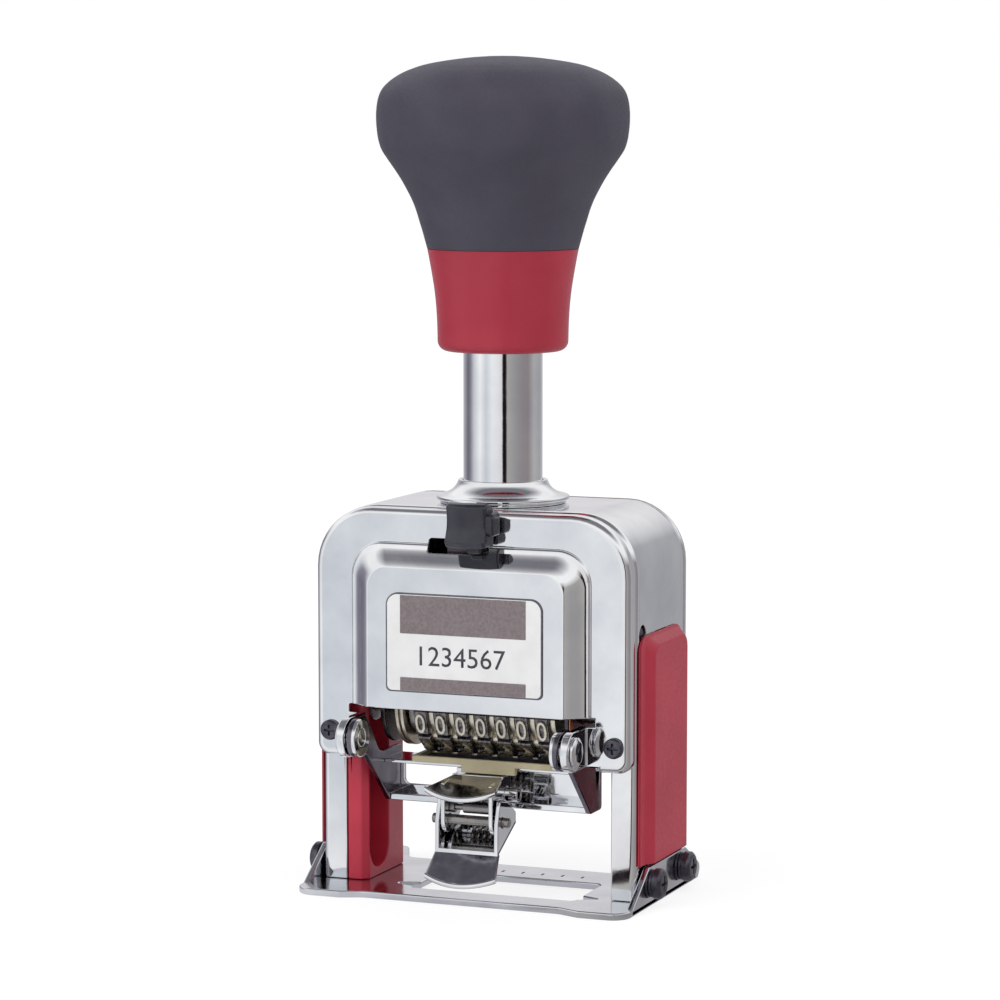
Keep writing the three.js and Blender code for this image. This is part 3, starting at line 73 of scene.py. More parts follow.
# Studio. A pale floor under a pale room, lit by broad soft lamps. The camera sees the room white. Mirrors see
# its walls by compass bearing, with one narrow dark gap beside the camera, a white band above them and a grey
# ceiling, which is what gives plated steel its drawing.
def colour(text):
    """An sRGB hex colour as linear red, green, blue and alpha."""
    shares = np.array([int(text[i:i + 2], 16) for i in (1, 3, 5)]) / 255
    linear = np.where(shares <= 0.04045, shares / 12.92, ((shares + 0.055) / 1.055) ** 2.4)
    return (*linear.tolist(), 1.0)


def add(tree, kind, inputs=None, **settings):
    """Add a shader node; its inputs are numbers, colours or other nodes' sockets, by name or by place."""
    made = tree.nodes.new(f"ShaderNode{kind}")
    for name, value in settings.items():
        setattr(made, name, value)
    for key, value in (inputs or {}).items():
        if isinstance(value, bpy.types.NodeSocket):
            tree.links.new(value, made.inputs[key])
        else:
            made.inputs[key].default_value = value
    return made


def stops(node, *places):
    """Set the colours of a ramp: (share, hex colour) pairs."""
    ramp = node.color_ramp
    while len(ramp.elements) < len(places):
        ramp.elements.new(0.5)
    for element, (share, text) in zip(ramp.elements, places):
        element.position = share
        element.color = colour(text)


def walls(tree, x, y, pale_share, pale):
    """What a mirror sees: wall colour by bearing atan2(x, -y), blended into a pale ceiling or floor."""
    forward = add(tree, "Math", {0: y, 1: -1.0}, operation="MULTIPLY")
    bearing = add(tree, "Math", {0: x, 1: forward.outputs[0]}, operation="ARCTAN2")
    share = add(tree, "MapRange", {0: bearing.outputs[0], 1: -math.pi, 2: math.pi})
    boards = add(tree, "ValToRGB", {0: share.outputs[0]})
    stops(boards, (0.0, "#C6C5C8"), (0.06, "#E2E0E3"), (0.16, "#A8A5AE"), (0.222, "#74707E"), (0.26, "#8F8D98"),
          (0.303, "#D4D8DE"), (0.364, "#FFFFFF"), (0.419, "#D8DDE4"), (0.472, "#F6F8FA"), (0.519, "#F4F2F4"),
          (0.551, "#E8E6E8"), (0.559, "#1D171C"), (0.583, "#1D171C"), (0.594, "#B4B2AD"), (0.664, "#A09E9F"),
          (0.717, "#979194"), (0.775, "#938B8D"), (0.842, "#B4B3B5"), (0.936, "#A6A7AB"), (1.0, "#C6C5C8"))
    return add(tree, "Mix", {0: pale_share, 6: boards.outputs[0], 7: colour(pale)}, data_type="RGBA").outputs[2]


def blend(tree, share, one, other):
    """A mix of two shaders: at share 0 it is all the first."""
    return add(tree, "MixShader", {0: share, 1: one, 2: other}).outputs[0]


ambient_strength = 0.62
board_glow = 1.12
board_white_share = 0.72
world = bpy.data.worlds.new("pale_room")
bpy.context.scene.world = world
world.use_nodes = True
room = world.node_tree
room.nodes.clear()
direction = add(room, "TexCoord").outputs["Generated"]
parts = add(room, "SeparateXYZ", {0: direction})
# By the sine of the elevation: walls up to 0.2, the white band from 0.42 to 0.62, the ceiling from 0.86.
high = add(room, "MapRange", {0: parts.outputs["Z"], 1: 0.2, 2: 0.42})
low_walls = walls(room, parts.outputs["X"], parts.outputs["Y"], high.outputs[0], "#FFFFFF")
zenith = add(room, "MapRange", {0: parts.outputs["Z"], 1: 0.62, 2: 0.86})
seen_walls = add(room, "Mix", {0: zenith.outputs[0], 6: low_walls, 7: colour("#7E7D84")},
                 data_type="RGBA").outputs[2]
rays = add(room, "LightPath")
mirrored = add(room, "Background", {"Color": seen_walls, "Strength": 1.0}).outputs[0]
ambient = add(room, "Background", {"Color": colour("#F6F6F8"), "Strength": ambient_strength}).outputs[0]
plain = add(room, "Background", {"Color": (1, 1, 1, 1), "Strength": 1.0}).outputs[0]
lit = blend(room, rays.outputs["Is Glossy Ray"], ambient, mirrored)
seen = blend(room, rays.outputs["Is Camera Ray"], lit, plain)
clear = blend(room, rays.outputs["Is Transmission Ray"], seen, plain)
add(room, "OutputWorld", {0: clear})

floor_half = 3.0
floor_mesh = bpy.data.meshes.new("floor")
floor_mesh.from_pydata(
    [(x * floor_half, y * floor_half, 0) for x, y in ((-1, -1), (1, -1), (1, 1), (-1, 1))], [], [(0, 1, 2, 3)])
floor = bpy.data.objects.new("floor", floor_mesh)
link(floor)
floor_paint = bpy.data.materials.new("matt_white_board")
floor_paint.use_nodes = True
board = floor_paint.node_tree
board.nodes.clear()
path = add(board, "LightPath")
spot = add(board, "TexCoord").outputs["Object"]
spots = add(board, "SeparateXYZ", {0: spot})
far = add(board, "VectorMath", {0: spot}, operation="LENGTH")
# Painted shadow: within 24 mm of the middle, fading out by 40 mm, mirrors see the board as a plain grey in place
# of the walls.
shadow_inner_radius, shadow_outer_radius = 24 * MM, 40 * MM
near = add(board, "MapRange", {0: far.outputs["Value"], 1: shadow_inner_radius, 2: shadow_outer_radius, 3: 1.0, 4: 0.0})
floor_walls_and_shadow = walls(board, spots.outputs["X"], spots.outputs["Y"], near.outputs[0], "#CBCACF")
glow = add(board, "Emission", {"Color": (1, 1, 1, 1), "Strength": board_glow}).outputs[0]
sheen = add(board, "Emission", {"Color": floor_walls_and_shadow, "Strength": 1.0}).outputs[0]
matt = add(board, "BsdfDiffuse", {"Color": colour("#EDEDEE")}).outputs[0]
# The board keeps the shadow: what the camera sees is partly lit board and mostly plain white.
shown = blend(board, board_white_share, matt, glow)
by_camera = blend(board, path.outputs["Is Camera Ray"], matt, shown)
by_mirror = blend(board, path.outputs["Is Glossy Ray"], by_camera, sheen)
add(board, "OutputMaterial", {0: by_mirror})
floor_mesh.materials.append(floor_paint)

# Each lamp has a bearing, an elevation and an angular width in degrees, and a strength. Mirrors don't see it.
for name, bearing, rise, spread, strength in (
    ("lamp_left", -42, 48, 45, 1.0),
    ("lamp_right", 70, 35, 50, 0.55),
    ("lamp_behind", 175, 55, 60, 0.5),
):
    sun = bpy.data.lights.new(name, "SUN")
    sun.angle = math.radians(spread)
    sun.energy = strength
    lamp = bpy.data.objects.new(name, sun)
    turn, up = math.radians(bearing), math.radians(rise)
    towards = Vector((math.sin(turn) * math.cos(up), -math.cos(turn) * math.cos(up), math.sin(up)))
    lamp.location = towards
    lamp.rotation_euler = towards.to_track_quat("Z", "Y").to_euler()
    lamp.visible_glossy = False
    link(lamp)


# Base plate: one blank of sheet steel with a stamping window, a foot at each corner and an ear bent up on each
# side for the frame's screws. It is polished and plated with bright nickel after bending.
arc_step = 0.14
weld_distance = 0.001 * MM
flat_angle = math.radians(0.3)


def rounded(corners):
    """A closed outline through corners (u, v, radius): each corner is an arc that touches both its sides."""
    arcs = []
    for i, (u, v, radius) in enumerate(corners):
        corner = np.array((u, v), float)
        if radius <= 0:
            arcs.append(corner[None])
            continue
        before, after = (np.array(corners[(i + step) % len(corners)][:2]) - corner for step in (-1, 1))
        before, after = before / np.linalg.norm(before), after / np.linalg.norm(after)
        half = math.acos(np.clip(before @ after, -1, 1)) / 2
        centre = corner + (before + after) / np.linalg.norm(before + after) * radius / math.sin(half)
        first = corner + before * radius / math.tan(half) - centre
        turn = (math.pi - 2 * half) * -np.sign(before[0] * after[1] - before[1] * after[0])
        angle = math.atan2(first[1], first[0]) + np.linspace(0, turn, max(3, int(abs(turn) / arc_step) + 1))
        arcs.append(centre + radius * np.stack([np.cos(angle), np.sin(angle)], axis=1))
    return np.vstack(arcs)


def rectangle(u0, u1, v0, v1, radius=0):
    """The outline of a rectangle with corners of one radius."""
    return rounded([(u0, v0, radius), (u1, v0, radius), (u1, v1, radius), (u0, v1, radius)])


def circle(u, v, radius, sides=48):
    """The outline of a circle: u + r cos a, v + r sin a."""
    angle = np.linspace(0, 2 * np.pi, sides, endpoint=False)
    return np.stack([u + radius * np.cos(angle), v + radius * np.sin(angle)], axis=1)


def place_on(axis, u, v, w):
    """Points of a plate square to an axis: u and v lie in YZ, XZ or XY, and w along X, Y or Z."""
    order = {"X": (w, u, v), "Y": (u, w, v), "Z": (u, v, w)}[axis]
    return np.stack(np.broadcast_arrays(*order), axis=-1)


def closed(piece, sharp=None):
    """Merge corners that coincide, point the faces outwards and shade smooth, up to a sharp angle in degrees."""
    work = bmesh.new()
    work.from_mesh(piece.data)
    bmesh.ops.remove_doubles(work, verts=work.verts, dist=weld_distance)
    bmesh.ops.dissolve_degenerate(work, edges=work.edges, dist=weld_distance / 10)
    bmesh.ops.recalc_face_normals(work, faces=work.faces)
    work.to_mesh(piece.data)
    work.free()
    piece.data.shade_smooth()
    if sharp:
        piece.data.set_sharp_from_angle(angle=math.radians(sharp))
    return piece


def mesh_object(name, points, faces):
    """A new object from points in millimetres and faces as lists of corners."""
    mesh = bpy.data.meshes.new(name)
    mesh.from_pydata((np.asarray(points, float) * MM).tolist(), [], faces)
    piece = bpy.data.objects.new(name, mesh)
    link(piece)
    return piece


def skin(name, rings, around=True, caps=True, loop=False, sharp=None):
    """A skin over rings of points, one or more sets of rows x columns x 3, with four corners to a face.
    Around joins the last column to the first, loop the last row to the first, and caps close both ends."""
    rings = rings.reshape(-1, *rings.shape[-3:])
    sets, rows, columns = rings.shape[:3]
    row, column = np.meshgrid(
        np.arange(rows if loop else rows - 1), np.arange(columns if around else columns - 1), indexing="ij")
    below, beside = (row + 1) % rows, (column + 1) % columns
    row, below = row * columns, below * columns
    one = np.stack([row + column, row + beside, below + beside, below + column], axis=-1).reshape(-1, 4).tolist()
    if caps:
        one += [list(range(columns))[::-1], list(range((rows - 1) * columns, rows * columns))]
    faces = [[corner + i * rows * columns for corner in face] for i in range(sets) for face in one]
    return closed(mesh_object(name, rings.reshape(-1, 3), faces), sharp)


def plate(name, axis, line, low, high):
    """A flat sheet: its outline at two heights along the axis, joined by a wall and closed by two caps."""
    return skin(name, np.stack([place_on(axis, line[:, 0], line[:, 1], w) for w in (low, high)]))


def evaluated(piece):
    """A new mesh of an object as its modifiers or its text make it."""
    bpy.context.view_layer.update()
    return bpy.data.meshes.new_from_object(piece.evaluated_get(bpy.context.evaluated_depsgraph_get()))


def cut(piece, *tools, way="DIFFERENCE"):
    """Cut tools out of a piece, or weld them to it, and keep the result as its mesh. Flat faces that the
    cut divided become one again."""
    for tool in tools:
        step = piece.modifiers.new("cut", "BOOLEAN")
        step.operation, step.solver, step.object = way, "EXACT", tool
    fresh = evaluated(piece)
    piece.modifiers.clear()
    stale, piece.data = piece.data, fresh
    bpy.data.meshes.remove(stale)
    for tool in tools:
        bpy.data.objects.remove(tool)
    work = bmesh.new()
    work.from_mesh(piece.data)
    bmesh.ops.remove_doubles(work, verts=work.verts, dist=2 * weld_distance)
    bmesh.ops.dissolve_limit(work, angle_limit=flat_angle, verts=work.verts, edges=work.edges)
    work.to_mesh(piece.data)
    work.free()
    piece.data.shade_smooth()
    return piece


def soften(piece, width, segments=3, angle=32):
    """Round each edge that turns by more than the angle, as tumbling, plating or a mould's radius does."""
    edge = piece.modifiers.new("rounded_edges", "BEVEL")
    edge.width = width * MM
    edge.segments = segments
    edge.limit_method = "ANGLE"
    edge.angle_limit = math.radians(angle)
    edge.use_clamp_overlap = False
    return piece


def punch(place, radius, sides=48, reach=33):
    """A round punch along X at a place (y, z), as long as its reach on each side of the middle."""
    return plate("punch", "X", circle(*place, radius, sides), -reach, reach)


def pair(name, line, near, far, *holes):
    """Two plates square to X, from near to far at each side of the middle, with the same holes punched."""
    plates = [plate(name, "X", line, *sorted((side * near, side * far))) for side in (-1, 1)]
    return [cut(one, *[punch(*hole) for hole in holes]) if holes else one for one in plates]


def joined(piece, *others):
    """Put the closed shells of several objects into the first one's mesh."""
    work = bmesh.new()
    for one in (piece, *others):
        work.from_mesh(one.data)
    work.to_mesh(piece.data)
    work.free()
    for other in others:
        bpy.data.objects.remove(other)
    return piece


def surfaced(name, colours, patch, roughness, grain, relief, wave=0.0, metallic=0.0):
    """A surface whose colour drifts between two hex values over patches and whose roughness and height follow
    a finer grain. Sizes are millimetres: relief is the grain's height, wave the height of the wide patches."""
    made = bpy.data.materials.new(name)
    made.use_nodes = True
    tree = made.node_tree
    tree.nodes.clear()
    place = add(tree, "TexCoord").outputs["Object"]
    wide = add(tree, "TexNoise", {"Vector": place, "Scale": 1 / (patch * MM), "Detail": 4.0})
    fine = add(tree, "TexNoise", {"Vector": place, "Scale": 1 / (grain * MM), "Detail": 3.0})
    tone = add(tree, "ValToRGB", {0: wide.outputs[0]})
    stops(tone, (0.35, colours[0]), (0.65, colours[1]))
    matting = add(tree, "MapRange", {0: fine.outputs[0], 1: 0.3, 2: 0.7, 3: roughness[0], 4: roughness[1]})
    swell = add(tree, "Bump", {"Height": wide.outputs[0], "Strength": 1.0, "Distance": wave * MM})
    bump = add(tree, "Bump", {"Height": fine.outputs[0], "Strength": 1.0, "Distance": relief * MM,
                              "Normal": swell.outputs[0]})
    shader = add(tree, "BsdfPrincipled", {"Base Color": tone.outputs[0], "Roughness": matting.outputs[0],
                                          "Normal": bump.outputs[0], "Metallic": metallic})
    add(tree, "OutputMaterial", {0: shader.outputs[0]})
    return made


def dress(piece, material, slot, body, *nodes):
    """Give a piece its one material, let it ride on its body and stand for its CAD nodes. Its slot is not used.
    Weighted normals keep its flat faces flat between rounded edges."""
    piece.data.materials.clear()
    piece.data.materials.append(material)
    level = piece.modifiers.new("flat_faces", "WEIGHTED_NORMAL")
    level.keep_sharp = True
    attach(piece, body)
    if nodes:
        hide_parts(*nodes)
    return piece


def coat(material, *nodes):
    """Give CAD nodes that stay in sight a better material through their own slots."""
    for node in nodes:
        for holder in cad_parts[node].material_slots:
            holder.material = material


# Bright nickel plate: a clear mirror. The sheet is not quite flat, so reflections swim a little over some
# 9 mm, and wiping has left faint duller patches.
nickel = surfaced("bright_nickel_plate", ("#E2E3E6", "#F0F1F2"), 9, (0.035, 0.09), 2.5, 0.0004, 0.05,
                  metallic=1.0)

# Worn nickel plate: duller, since it lies on paper and ink dust, so that reflections blur into soft greys. Its
# plate is also a darker grey than the frame's: painted shade.
worn_shaded_base_nickel = surfaced("worn_nickel_plate_with_painted_shade", ("#CBCCD1", "#DADBDF"), 7, (0.08, 0.2), 1.2, 0.0008, 0.05,
                       metallic=1.0)

base_half, base_front, base_rear = 31.9, -22.9, 19.5
base_foot, base_waist = base_half - 9, base_half - 13
base_sheet, ear_sheet = 1.3, 1.2
screw_places = (-8.4, 8.0)
screw_height = 4.1
base = plate("base_sheet", "Z", rounded([
    (-base_half, base_front, 3.5), (-base_foot, base_front, 2), (-base_waist, -21.3, 2), (base_waist, -21.3, 2),
    (base_foot, base_front, 2), (base_half, base_front, 3.5), (base_half, base_rear, 3.5),
    (base_foot + 4, base_rear, 2), (base_foot, 10, 2), (-base_foot, 10, 2), (-base_foot - 4, base_rear, 2),
    (-base_half, base_rear, 3.5)]), 0, base_sheet)
base_ear = rounded([(-20.5, 0, 0.6), (17.7, 0, 0), (19.2, 2.4, 1.4), (10.5, 7.2, 1.5), (-9.8, 7.2, 1.5)])
leaf_notches = rounded([(-12, -13.9, 0), (19.4, -13.9, 0), (24, -12.1, 0.6), (19.4, -10.3, 0), (-12, -10.3, 0),
                        (-16.6, -12.1, 0.6)])
cut(base, plate("window", "Z", rectangle(-12, 19.4, -15.1, 0.3, 1), -1, 3),
    plate("notches", "Z", leaf_notches, -1, 3))
joined(base, *pair("ear", base_ear, base_half - ear_sheet, base_half))
dress(soften(base, 0.34, 4), worn_shaded_base_nickel, "plated_steel", "housing", "base_plate")

# Setting marks: seven short strokes printed on the base's rear strip, one behind each wheel. The marking ink
# is matt, so that the strokes stay black against the mirror around them.
mark_ink = surfaced("black_marking_ink", ("#35343A", "#4A494F"), 0.6, (0.5, 0.7), 0.3, 0.002)
wheel_pitch, wheel_middle = 3.9, 2.4
strokes = [plate("stroke", "Z", rectangle(x - 0.2, x + 0.2, 3.4, 4.7), base_sheet, base_sheet + 0.015)
           for x in wheel_middle + wheel_pitch * (np.arange(7) - 3)]
marks = joined(*strokes)
marks.name = "setting_marks"
dress(marks, mark_ink, "plated_steel", "housing")


# Frame: one strip of sheet steel bent over the top, with a flange turned in along both edges, nickel plated.
# The guides and screws hold its feet between the base's ears. A stop pin's hole shows in its side.
def arch(section, half, top, radius, bottom):
    """A section of (inset, y) corners carried up one leg, round both top corners and down the other:
    straight parts keep their inset sideways, and the corners turn about a centre with radius - inset."""
    steps = 19
    bend = np.linspace(0, np.pi / 2, steps)
    angle = np.concatenate([np.pi - bend, np.pi / 2 - bend])[:, None]
    side = np.repeat([-1, 1], steps)[:, None]
    inset, y = section[:, 0], section[:, 1]
    x = side * (half - radius) + (radius - inset) * np.cos(angle)
    z = top - radius + (radius - inset) * np.sin(angle)
    x = np.vstack([-half + inset[None], x, half - inset[None]])
    z = np.vstack([np.full((1, len(inset)), bottom), z, np.full((1, len(inset)), bottom)])
    return np.stack([x, np.broadcast_to(y, x.shape), z], axis=-1)


channel = rounded([(0, -12.8, 1.3), (4.8, -12.8, 0.3), (4.8, -11.8, 0.3), (1, -11.8, 0.4), (1, 12.4, 0.4),
                   (4.8, 12.4, 0.3), (4.8, 13.4, 0.3), (0, 13.4, 1.3)])
stop_place = (-9.6, 48.7)
bent = skin("bent_frame", arch(channel, half=30.4, top=70.5, radius=11, bottom=1.35))
cut(bent, plate("hole", "Z", circle(0, 0, 8.95, 72), 66, 73), punch(stop_place, 1.9),
    plate("bar_slots", "X", rectangle(-2.65, 2.65, 46.5, 48.6), -33, 33))
dress(soften(bent, 0.22, 3, 40), nickel, "plated_steel", "housing", "frame")

# Guides: red acetal blocks inside the legs, moulded with a round-ended slot in which the carriage's sliders
# run. The left one stands out past the flange with a nose, and the right one is slotted right through.
# Acetal is waxy and dense in colour, with a broad soft shine.
red_acetal = surfaced("moulded_red_acetal", ("#C02A42", "#CA3348"), 12, (0.3, 0.42), 0.5, 0.002, 0.03)
run_slot = rectangle(-11.3, -2.7, 2.85, 39.6, 4.25)
left_guide = plate("left_runner", "Z", rounded([
    (-21.6, -11.6, 0), (-22.8, -12.8, 0), (-25.4, -12.8, 0), (-25.4, -11.6, 0), (-29.2, -11.6, 0),
    (-29.2, 9.8, 0), (-25.4, 9.8, 0), (-25.4, 4.2, 0), (-21.6, 4.2, 0)]), 1.35, 46.15)
cut(left_guide, plate("slot", "X", run_slot, -25.5, -20))
dress(soften(left_guide, 0.28), red_acetal, "red_moulding", "housing", "left_guide")
right_guide = plate("right_runner", "Z", rectangle(25.7, 29.2, -11.6, 9.8, 0.2), 1.35, 46.15)
cut(right_guide, plate("slot", "X", run_slot, 24, 31))
dress(soften(right_guide, 0.28), red_acetal, "red_moulding", "housing", "right_guide")


# Guards: covers moulded in red ABS and clipped over the outside of the legs. Each has a narrow flat strip
# along its front, a bevel behind that and at the top, and a flat face. The satin mould leaves a veil of
# highlight on the bevels.
def domed(axis, bottom, u0, u1, top, radius, w):
    """One ring of a raised form: square at its foot and rounded at its two upper corners."""
    line = rounded([(u0, bottom, 0), (u1, bottom, 0), (u1, top, radius), (u0, top, radius)])
    return place_on(axis, line[:, 0], line[:, 1], w)


red_abs = surfaced("moulded_red_abs", ("#A82438", "#B32C40"), 14, (0.34, 0.46), 0.6, 0.003, 0.03)
for name, side in (("left_guard", -1), ("right_guard", 1)):
    rings = np.stack([domed("X", 7.6, *rest, side * x) for x, *rest in (
        (30.45, -12.2, 10.4, 48.7, 3), (30.75, -12.2, 10.4, 48.7, 3), (30.9, -12.08, 10.35, 48.6, 2.9),
        (30.95, -11.9, 10.3, 48.45, 2.8), (31.0, -10.1, 10.25, 48.3, 2.7), (31.05, -9.9, 10.2, 48.2, 2.7),
        (32.1, -8.15, 9.95, 47.0, 2.5), (32.22, -7.9, 9.85, 46.75, 2.4), (32.25, -7.6, 9.7, 46.5, 2.3))])
    dress(soften(skin(f"{name}_cover", rings), 0.12, 2), red_abs, "red_moulding", "housing", name)


# Screws: cold-headed steel, blackened in a hot bath and oiled. Small pan heads hold the covers, and larger
# ones with a washer under them hold the frame to the base's ears. The black shows dark grey, smeared lights.
def turned(name, profile, axis="Z", centre=(0, 0), sides=96):
    """Turn a profile of (radius, height) about an axis: u = r cos a, v = r sin a. A profile with a bore
    closes on itself; one that starts on the axis ends there."""
    profile = np.asarray(profile, float)
    angle = np.linspace(0, 2 * np.pi, sides, endpoint=False)
    radius, height = profile[:, :1], profile[:, 1:]
    u, v = centre[0] + radius * np.cos(angle), centre[1] + radius * np.sin(angle)
    rings = place_on(axis, u, v, height + 0 * angle)
    return skin(name, rings, caps=False, loop=bool(profile[0, 0] > 0), sharp=38)


def cross(axis, u, v, low, high, arm, half=0.3):
    """A cross-shaped punch: a bar each way, with arms of the given length."""
    corners = [(-half, -arm), (half, -arm), (half, -half), (arm, -half), (arm, half), (half, half), (half, arm),
               (-half, arm), (-half, half), (-arm, half), (-arm, -half), (-half, -half)]
    return plate("cross", axis, np.array(corners) + (u, v), *sorted((low, high)))


black_oxide = surfaced("black_oxide_steel", ("#4A4851", "#625F69"), 1.5, (0.26, 0.4), 0.35, 0.003, metallic=0.85)
cover_screw_x, cover_screw_z = 27.3, 29.4
for name, side, seat, way in (
    ("cover_screw_left", -1, -16.0, -1), ("cover_screw_right", 1, -16.0, -1),
    ("rear_screw_left", -1, 14.35, 1), ("rear_screw_right", 1, 14.35, 1),
):
    head = rounded([(0, seat - way * 2.5, 0), (0.9, seat - way * 2.5, 0), (0.9, seat + way * 0.05, 0),
                    (1.85, seat + way * 0.05, 0.1), (1.85, seat + way * 0.55, 0.2), (1.5, seat + way * 0.95, 0.2),
                    (0, seat + way * 0.95, 0)])
    spot = (side * cover_screw_x, cover_screw_z)
    screw = turned(f"{name}_head", head, "Y", spot, 40)
    cut(screw, cross("Y", *spot, seat + way * 0.35, seat + way * 2, 1.0, 0.22))
    dress(soften(screw, 0.05, 2, 40), black_oxide, "black_screw", "housing", name)
for word, side in (("left", -1), ("right", 1)):
    for place, y in zip(("front", "rear"), screw_places):
        washer = turned("washer", [(r, side * x) for r, x in rounded([
            (1.3, 31.97, 0.05), (2.5, 31.97, 0.1), (2.5, 32.5, 0.15), (1.3, 32.5, 0.05)])],
            "X", (y, screw_height), 48)
        screw = turned(f"base_screw_{word}_{place}_head", [(r, side * x) for r, x in rounded([
            (0, 25.0, 0), (1.3, 25.0, 0.2), (1.3, 32.55, 0), (2.75, 32.55, 0.15), (2.75, 33.65, 0.35),
            (2.2, 34.2, 0.8), (0, 34.25, 0)])], "X", (y, screw_height), 56)
        soften(cut(screw, cross("X", y, screw_height, side * 33.5, side * 35.5, 1.45)), 0.09, 2, 40)
        dress(joined(screw, washer), black_oxide, "black_screw", "housing", f"base_screw_{word}_{place}")

# Stop pin: a ground and blackened steel pin across the frame, which stops the carriage at the top of its
# stroke. It is seen as a dark end in its hole.
stop = turned("stop_rod", rounded([(0, -30.0, 0), (1.6, -30.0, 0.3), (1.6, 30.0, 0.3), (0, 30.0, 0)]), "X",
              stop_place, 32)
dress(stop, black_oxide, "plain_steel", "housing", "stop_pin")


# Front cover: a pan pressed from sheet steel with a rounded rim, a stepped and raised panel, a slot for the
# selector and two tabs whose inner edges are bent forward as pivot ears. It is nickel plated and screwed to
# the frame's flanges.
def pan_ring(inset, y):
    """One ring of the pan: an arch with rounded feet, drawn in from its outline by the inset."""
    half, top, foot = 30.2 - inset, 70.3 - inset, max(0.5, 2.3 - inset)
    line = rounded([
        (-half, 24.7 + inset, foot), (half, 24.7 + inset, foot), (half, top, 11 - inset),
        (-half, top, 11 - inset)])
    return place_on("Y", line[:, 0], line[:, 1], y)


cover = skin("pressed_cover", np.stack([pan_ring(*row) for row in (
    (1.6, -15.1), (1.1, -15.05), (0.9, -14.7), (0.9, -13.0), (0.0, -13.0), (0.0, -14.7), (0.08, -15.1),
    (0.28, -15.5), (0.6, -15.8), (1.0, -15.95), (1.5, -16.0))]))
# The panel's flank falls by a straight line and an S curve, blended: the die's soft cove.
cove = np.linspace(0, 1, 11)
flank = np.stack([22.2 - 3.6 * cove, 63.5 - 3.7 * cove, 5.6 - 1.9 * cove, -16.58 - 2.42 * (
    0.6 * cove + 0.4 * (3 * cove ** 2 - 2 * cove ** 3))], axis=1)
raised = skin("raised", np.stack([domed("Y", 32.0, -half, half, *rest) for half, *rest in (
    (22.9, 64.2, 6.2, -15.5), (22.9, 64.2, 6.2, -16.15), (22.8, 64.1, 6.1, -16.37), (22.55, 63.85, 5.9, -16.5),
    *flank, (18.2, 59.4, 3.5, -19.0))]))
hollow = skin("hollow", np.stack([domed("Y", 31.0, -half, half, *rest) for half, *rest in (
    (22.0, 63.3, 3.6, -14.4), (22.0, 63.3, 3.6, -15.6), (18.2, 59.4, 2.0, -18.1))]))
cut(cover, raised, way="UNION")
cut(cover, hollow, plate("notch", "Y", rectangle(-23.7, 23.7, 20, 34.4), -22, -12))
pivot_place, pivot_hole = (-22.0, 29.3), 1.75
tab_ear = rounded([(-25.6, 25.7, 3.58), (-15.1, 25.7, 0), (-15.1, 32.9, 0), (-25.6, 32.9, 3.58)])
cut(cover, *pair("ear", tab_ear, 20.6, 22.1),
    *[plate("root", "Y", rectangle(*sorted((side * 20.6, side * 24.6)), 25.7, 32.9), -16, -15.1)
      for side in (-1, 1)], way="UNION")
cut(cover, punch(pivot_place, pivot_hole), plate("slot", "Y", rectangle(-7.9, 3.6, 62.7, 65.2, 0.5), -22, -14.6))
dress(soften(cover, 0.26), nickel, "plated_steel", "housing", "front_cover")


# Name plate: a thin anodised aluminium plate glued to the panel, printed white with two grey bands and plain
# figures. The enamel is smooth and half matt, and a dark line of bare plate is left at the edge.
def figure(text):
    """Plain figures as closed prisms: (points, faces), centred, 1 tall, from z 0 to 1."""
    words = bpy.data.curves.new("figure", "FONT")
    words.body, words.extrude, words.resolution_u = text, 0.5, 3
    holder = bpy.data.objects.new("figure", words)
    link(holder)
    flat = evaluated(holder)
    points = np.empty(len(flat.vertices) * 3)
    flat.vertices.foreach_get("co", points)
    points = points.reshape(-1, 3)
    faces = [list(face.vertices) for face in flat.polygons]
    bpy.data.objects.remove(holder)
    bpy.data.curves.remove(words)
    bpy.data.meshes.remove(flat)
    low, top = points.min(axis=0), points.max(axis=0)
    points[:, :2] = (points[:, :2] - (low + top)[:2] / 2) / (top[1] - low[1])
    points[:, 2] = (points[:, 2] - low[2]) / (top[2] - low[2])
    return points, faces


edge_line = surfaced("anodised_plate_edge", ("#5F5D66", "#74727A"), 2, (0.3, 0.5), 0.5, 0.001, metallic=0.6)
white_print = surfaced("printed_white_enamel", ("#EDEDEC", "#F6F6F5"), 5, (0.35, 0.5), 0.4, 0.001)
grey_print = surfaced("printed_grey_enamel", ("#7C7173", "#8B8081"), 0.5, (0.45, 0.6), 0.3, 0.002)
figure_print = surfaced("printed_black_enamel", ("#3A3840", "#4A4850"), 0.6, (0.4, 0.55), 0.3, 0.001)


def label_line(inset):
    """The plate's outline drawn in by the inset: wide arcs above and small ones below."""
    return rounded([(-15 + inset, 37.7 + inset, 0.9), (15 - inset, 37.7 + inset, 0.9),
                    (15 - inset, 55.6 - inset, 2.3 - inset), (-15 + inset, 55.6 - inset, 2.3 - inset)])


plate_face, white_face, ink_face, buried = -19.29, -19.31, -19.325, -19.2
sheet = plate("label_plate_sheet", "Y", label_line(0), plate_face, -19.03)
dress(soften(sheet, 0.06, 2), edge_line, "label_plate", "housing", "name_plate")
dress(plate("label_white", "Y", label_line(0.28), white_face, -19.1), white_print, "label_plate", "housing")
bands = joined(plate("label_bands", "Y", rectangle(-12.2, 11.9, 48.3, 55.2, 0.05), ink_face, buried),
               plate("band", "Y", rectangle(-12.2, 11.9, 38.0, 40.4, 0.05), ink_face, buried))
dress(bands, grey_print, "label_plate", "housing")
points, faces = figure("1234567")
label_x, label_z, label_height = -0.2, 44.4, 3.5
points = place_on("Y", label_x + label_height * points[:, 0], label_z + label_height * points[:, 1],
                  buried + (ink_face - buried) * points[:, 2])
printed = mesh_object("label_figures", points, faces)
dress(closed(printed), figure_print, "label_plate", "housing")

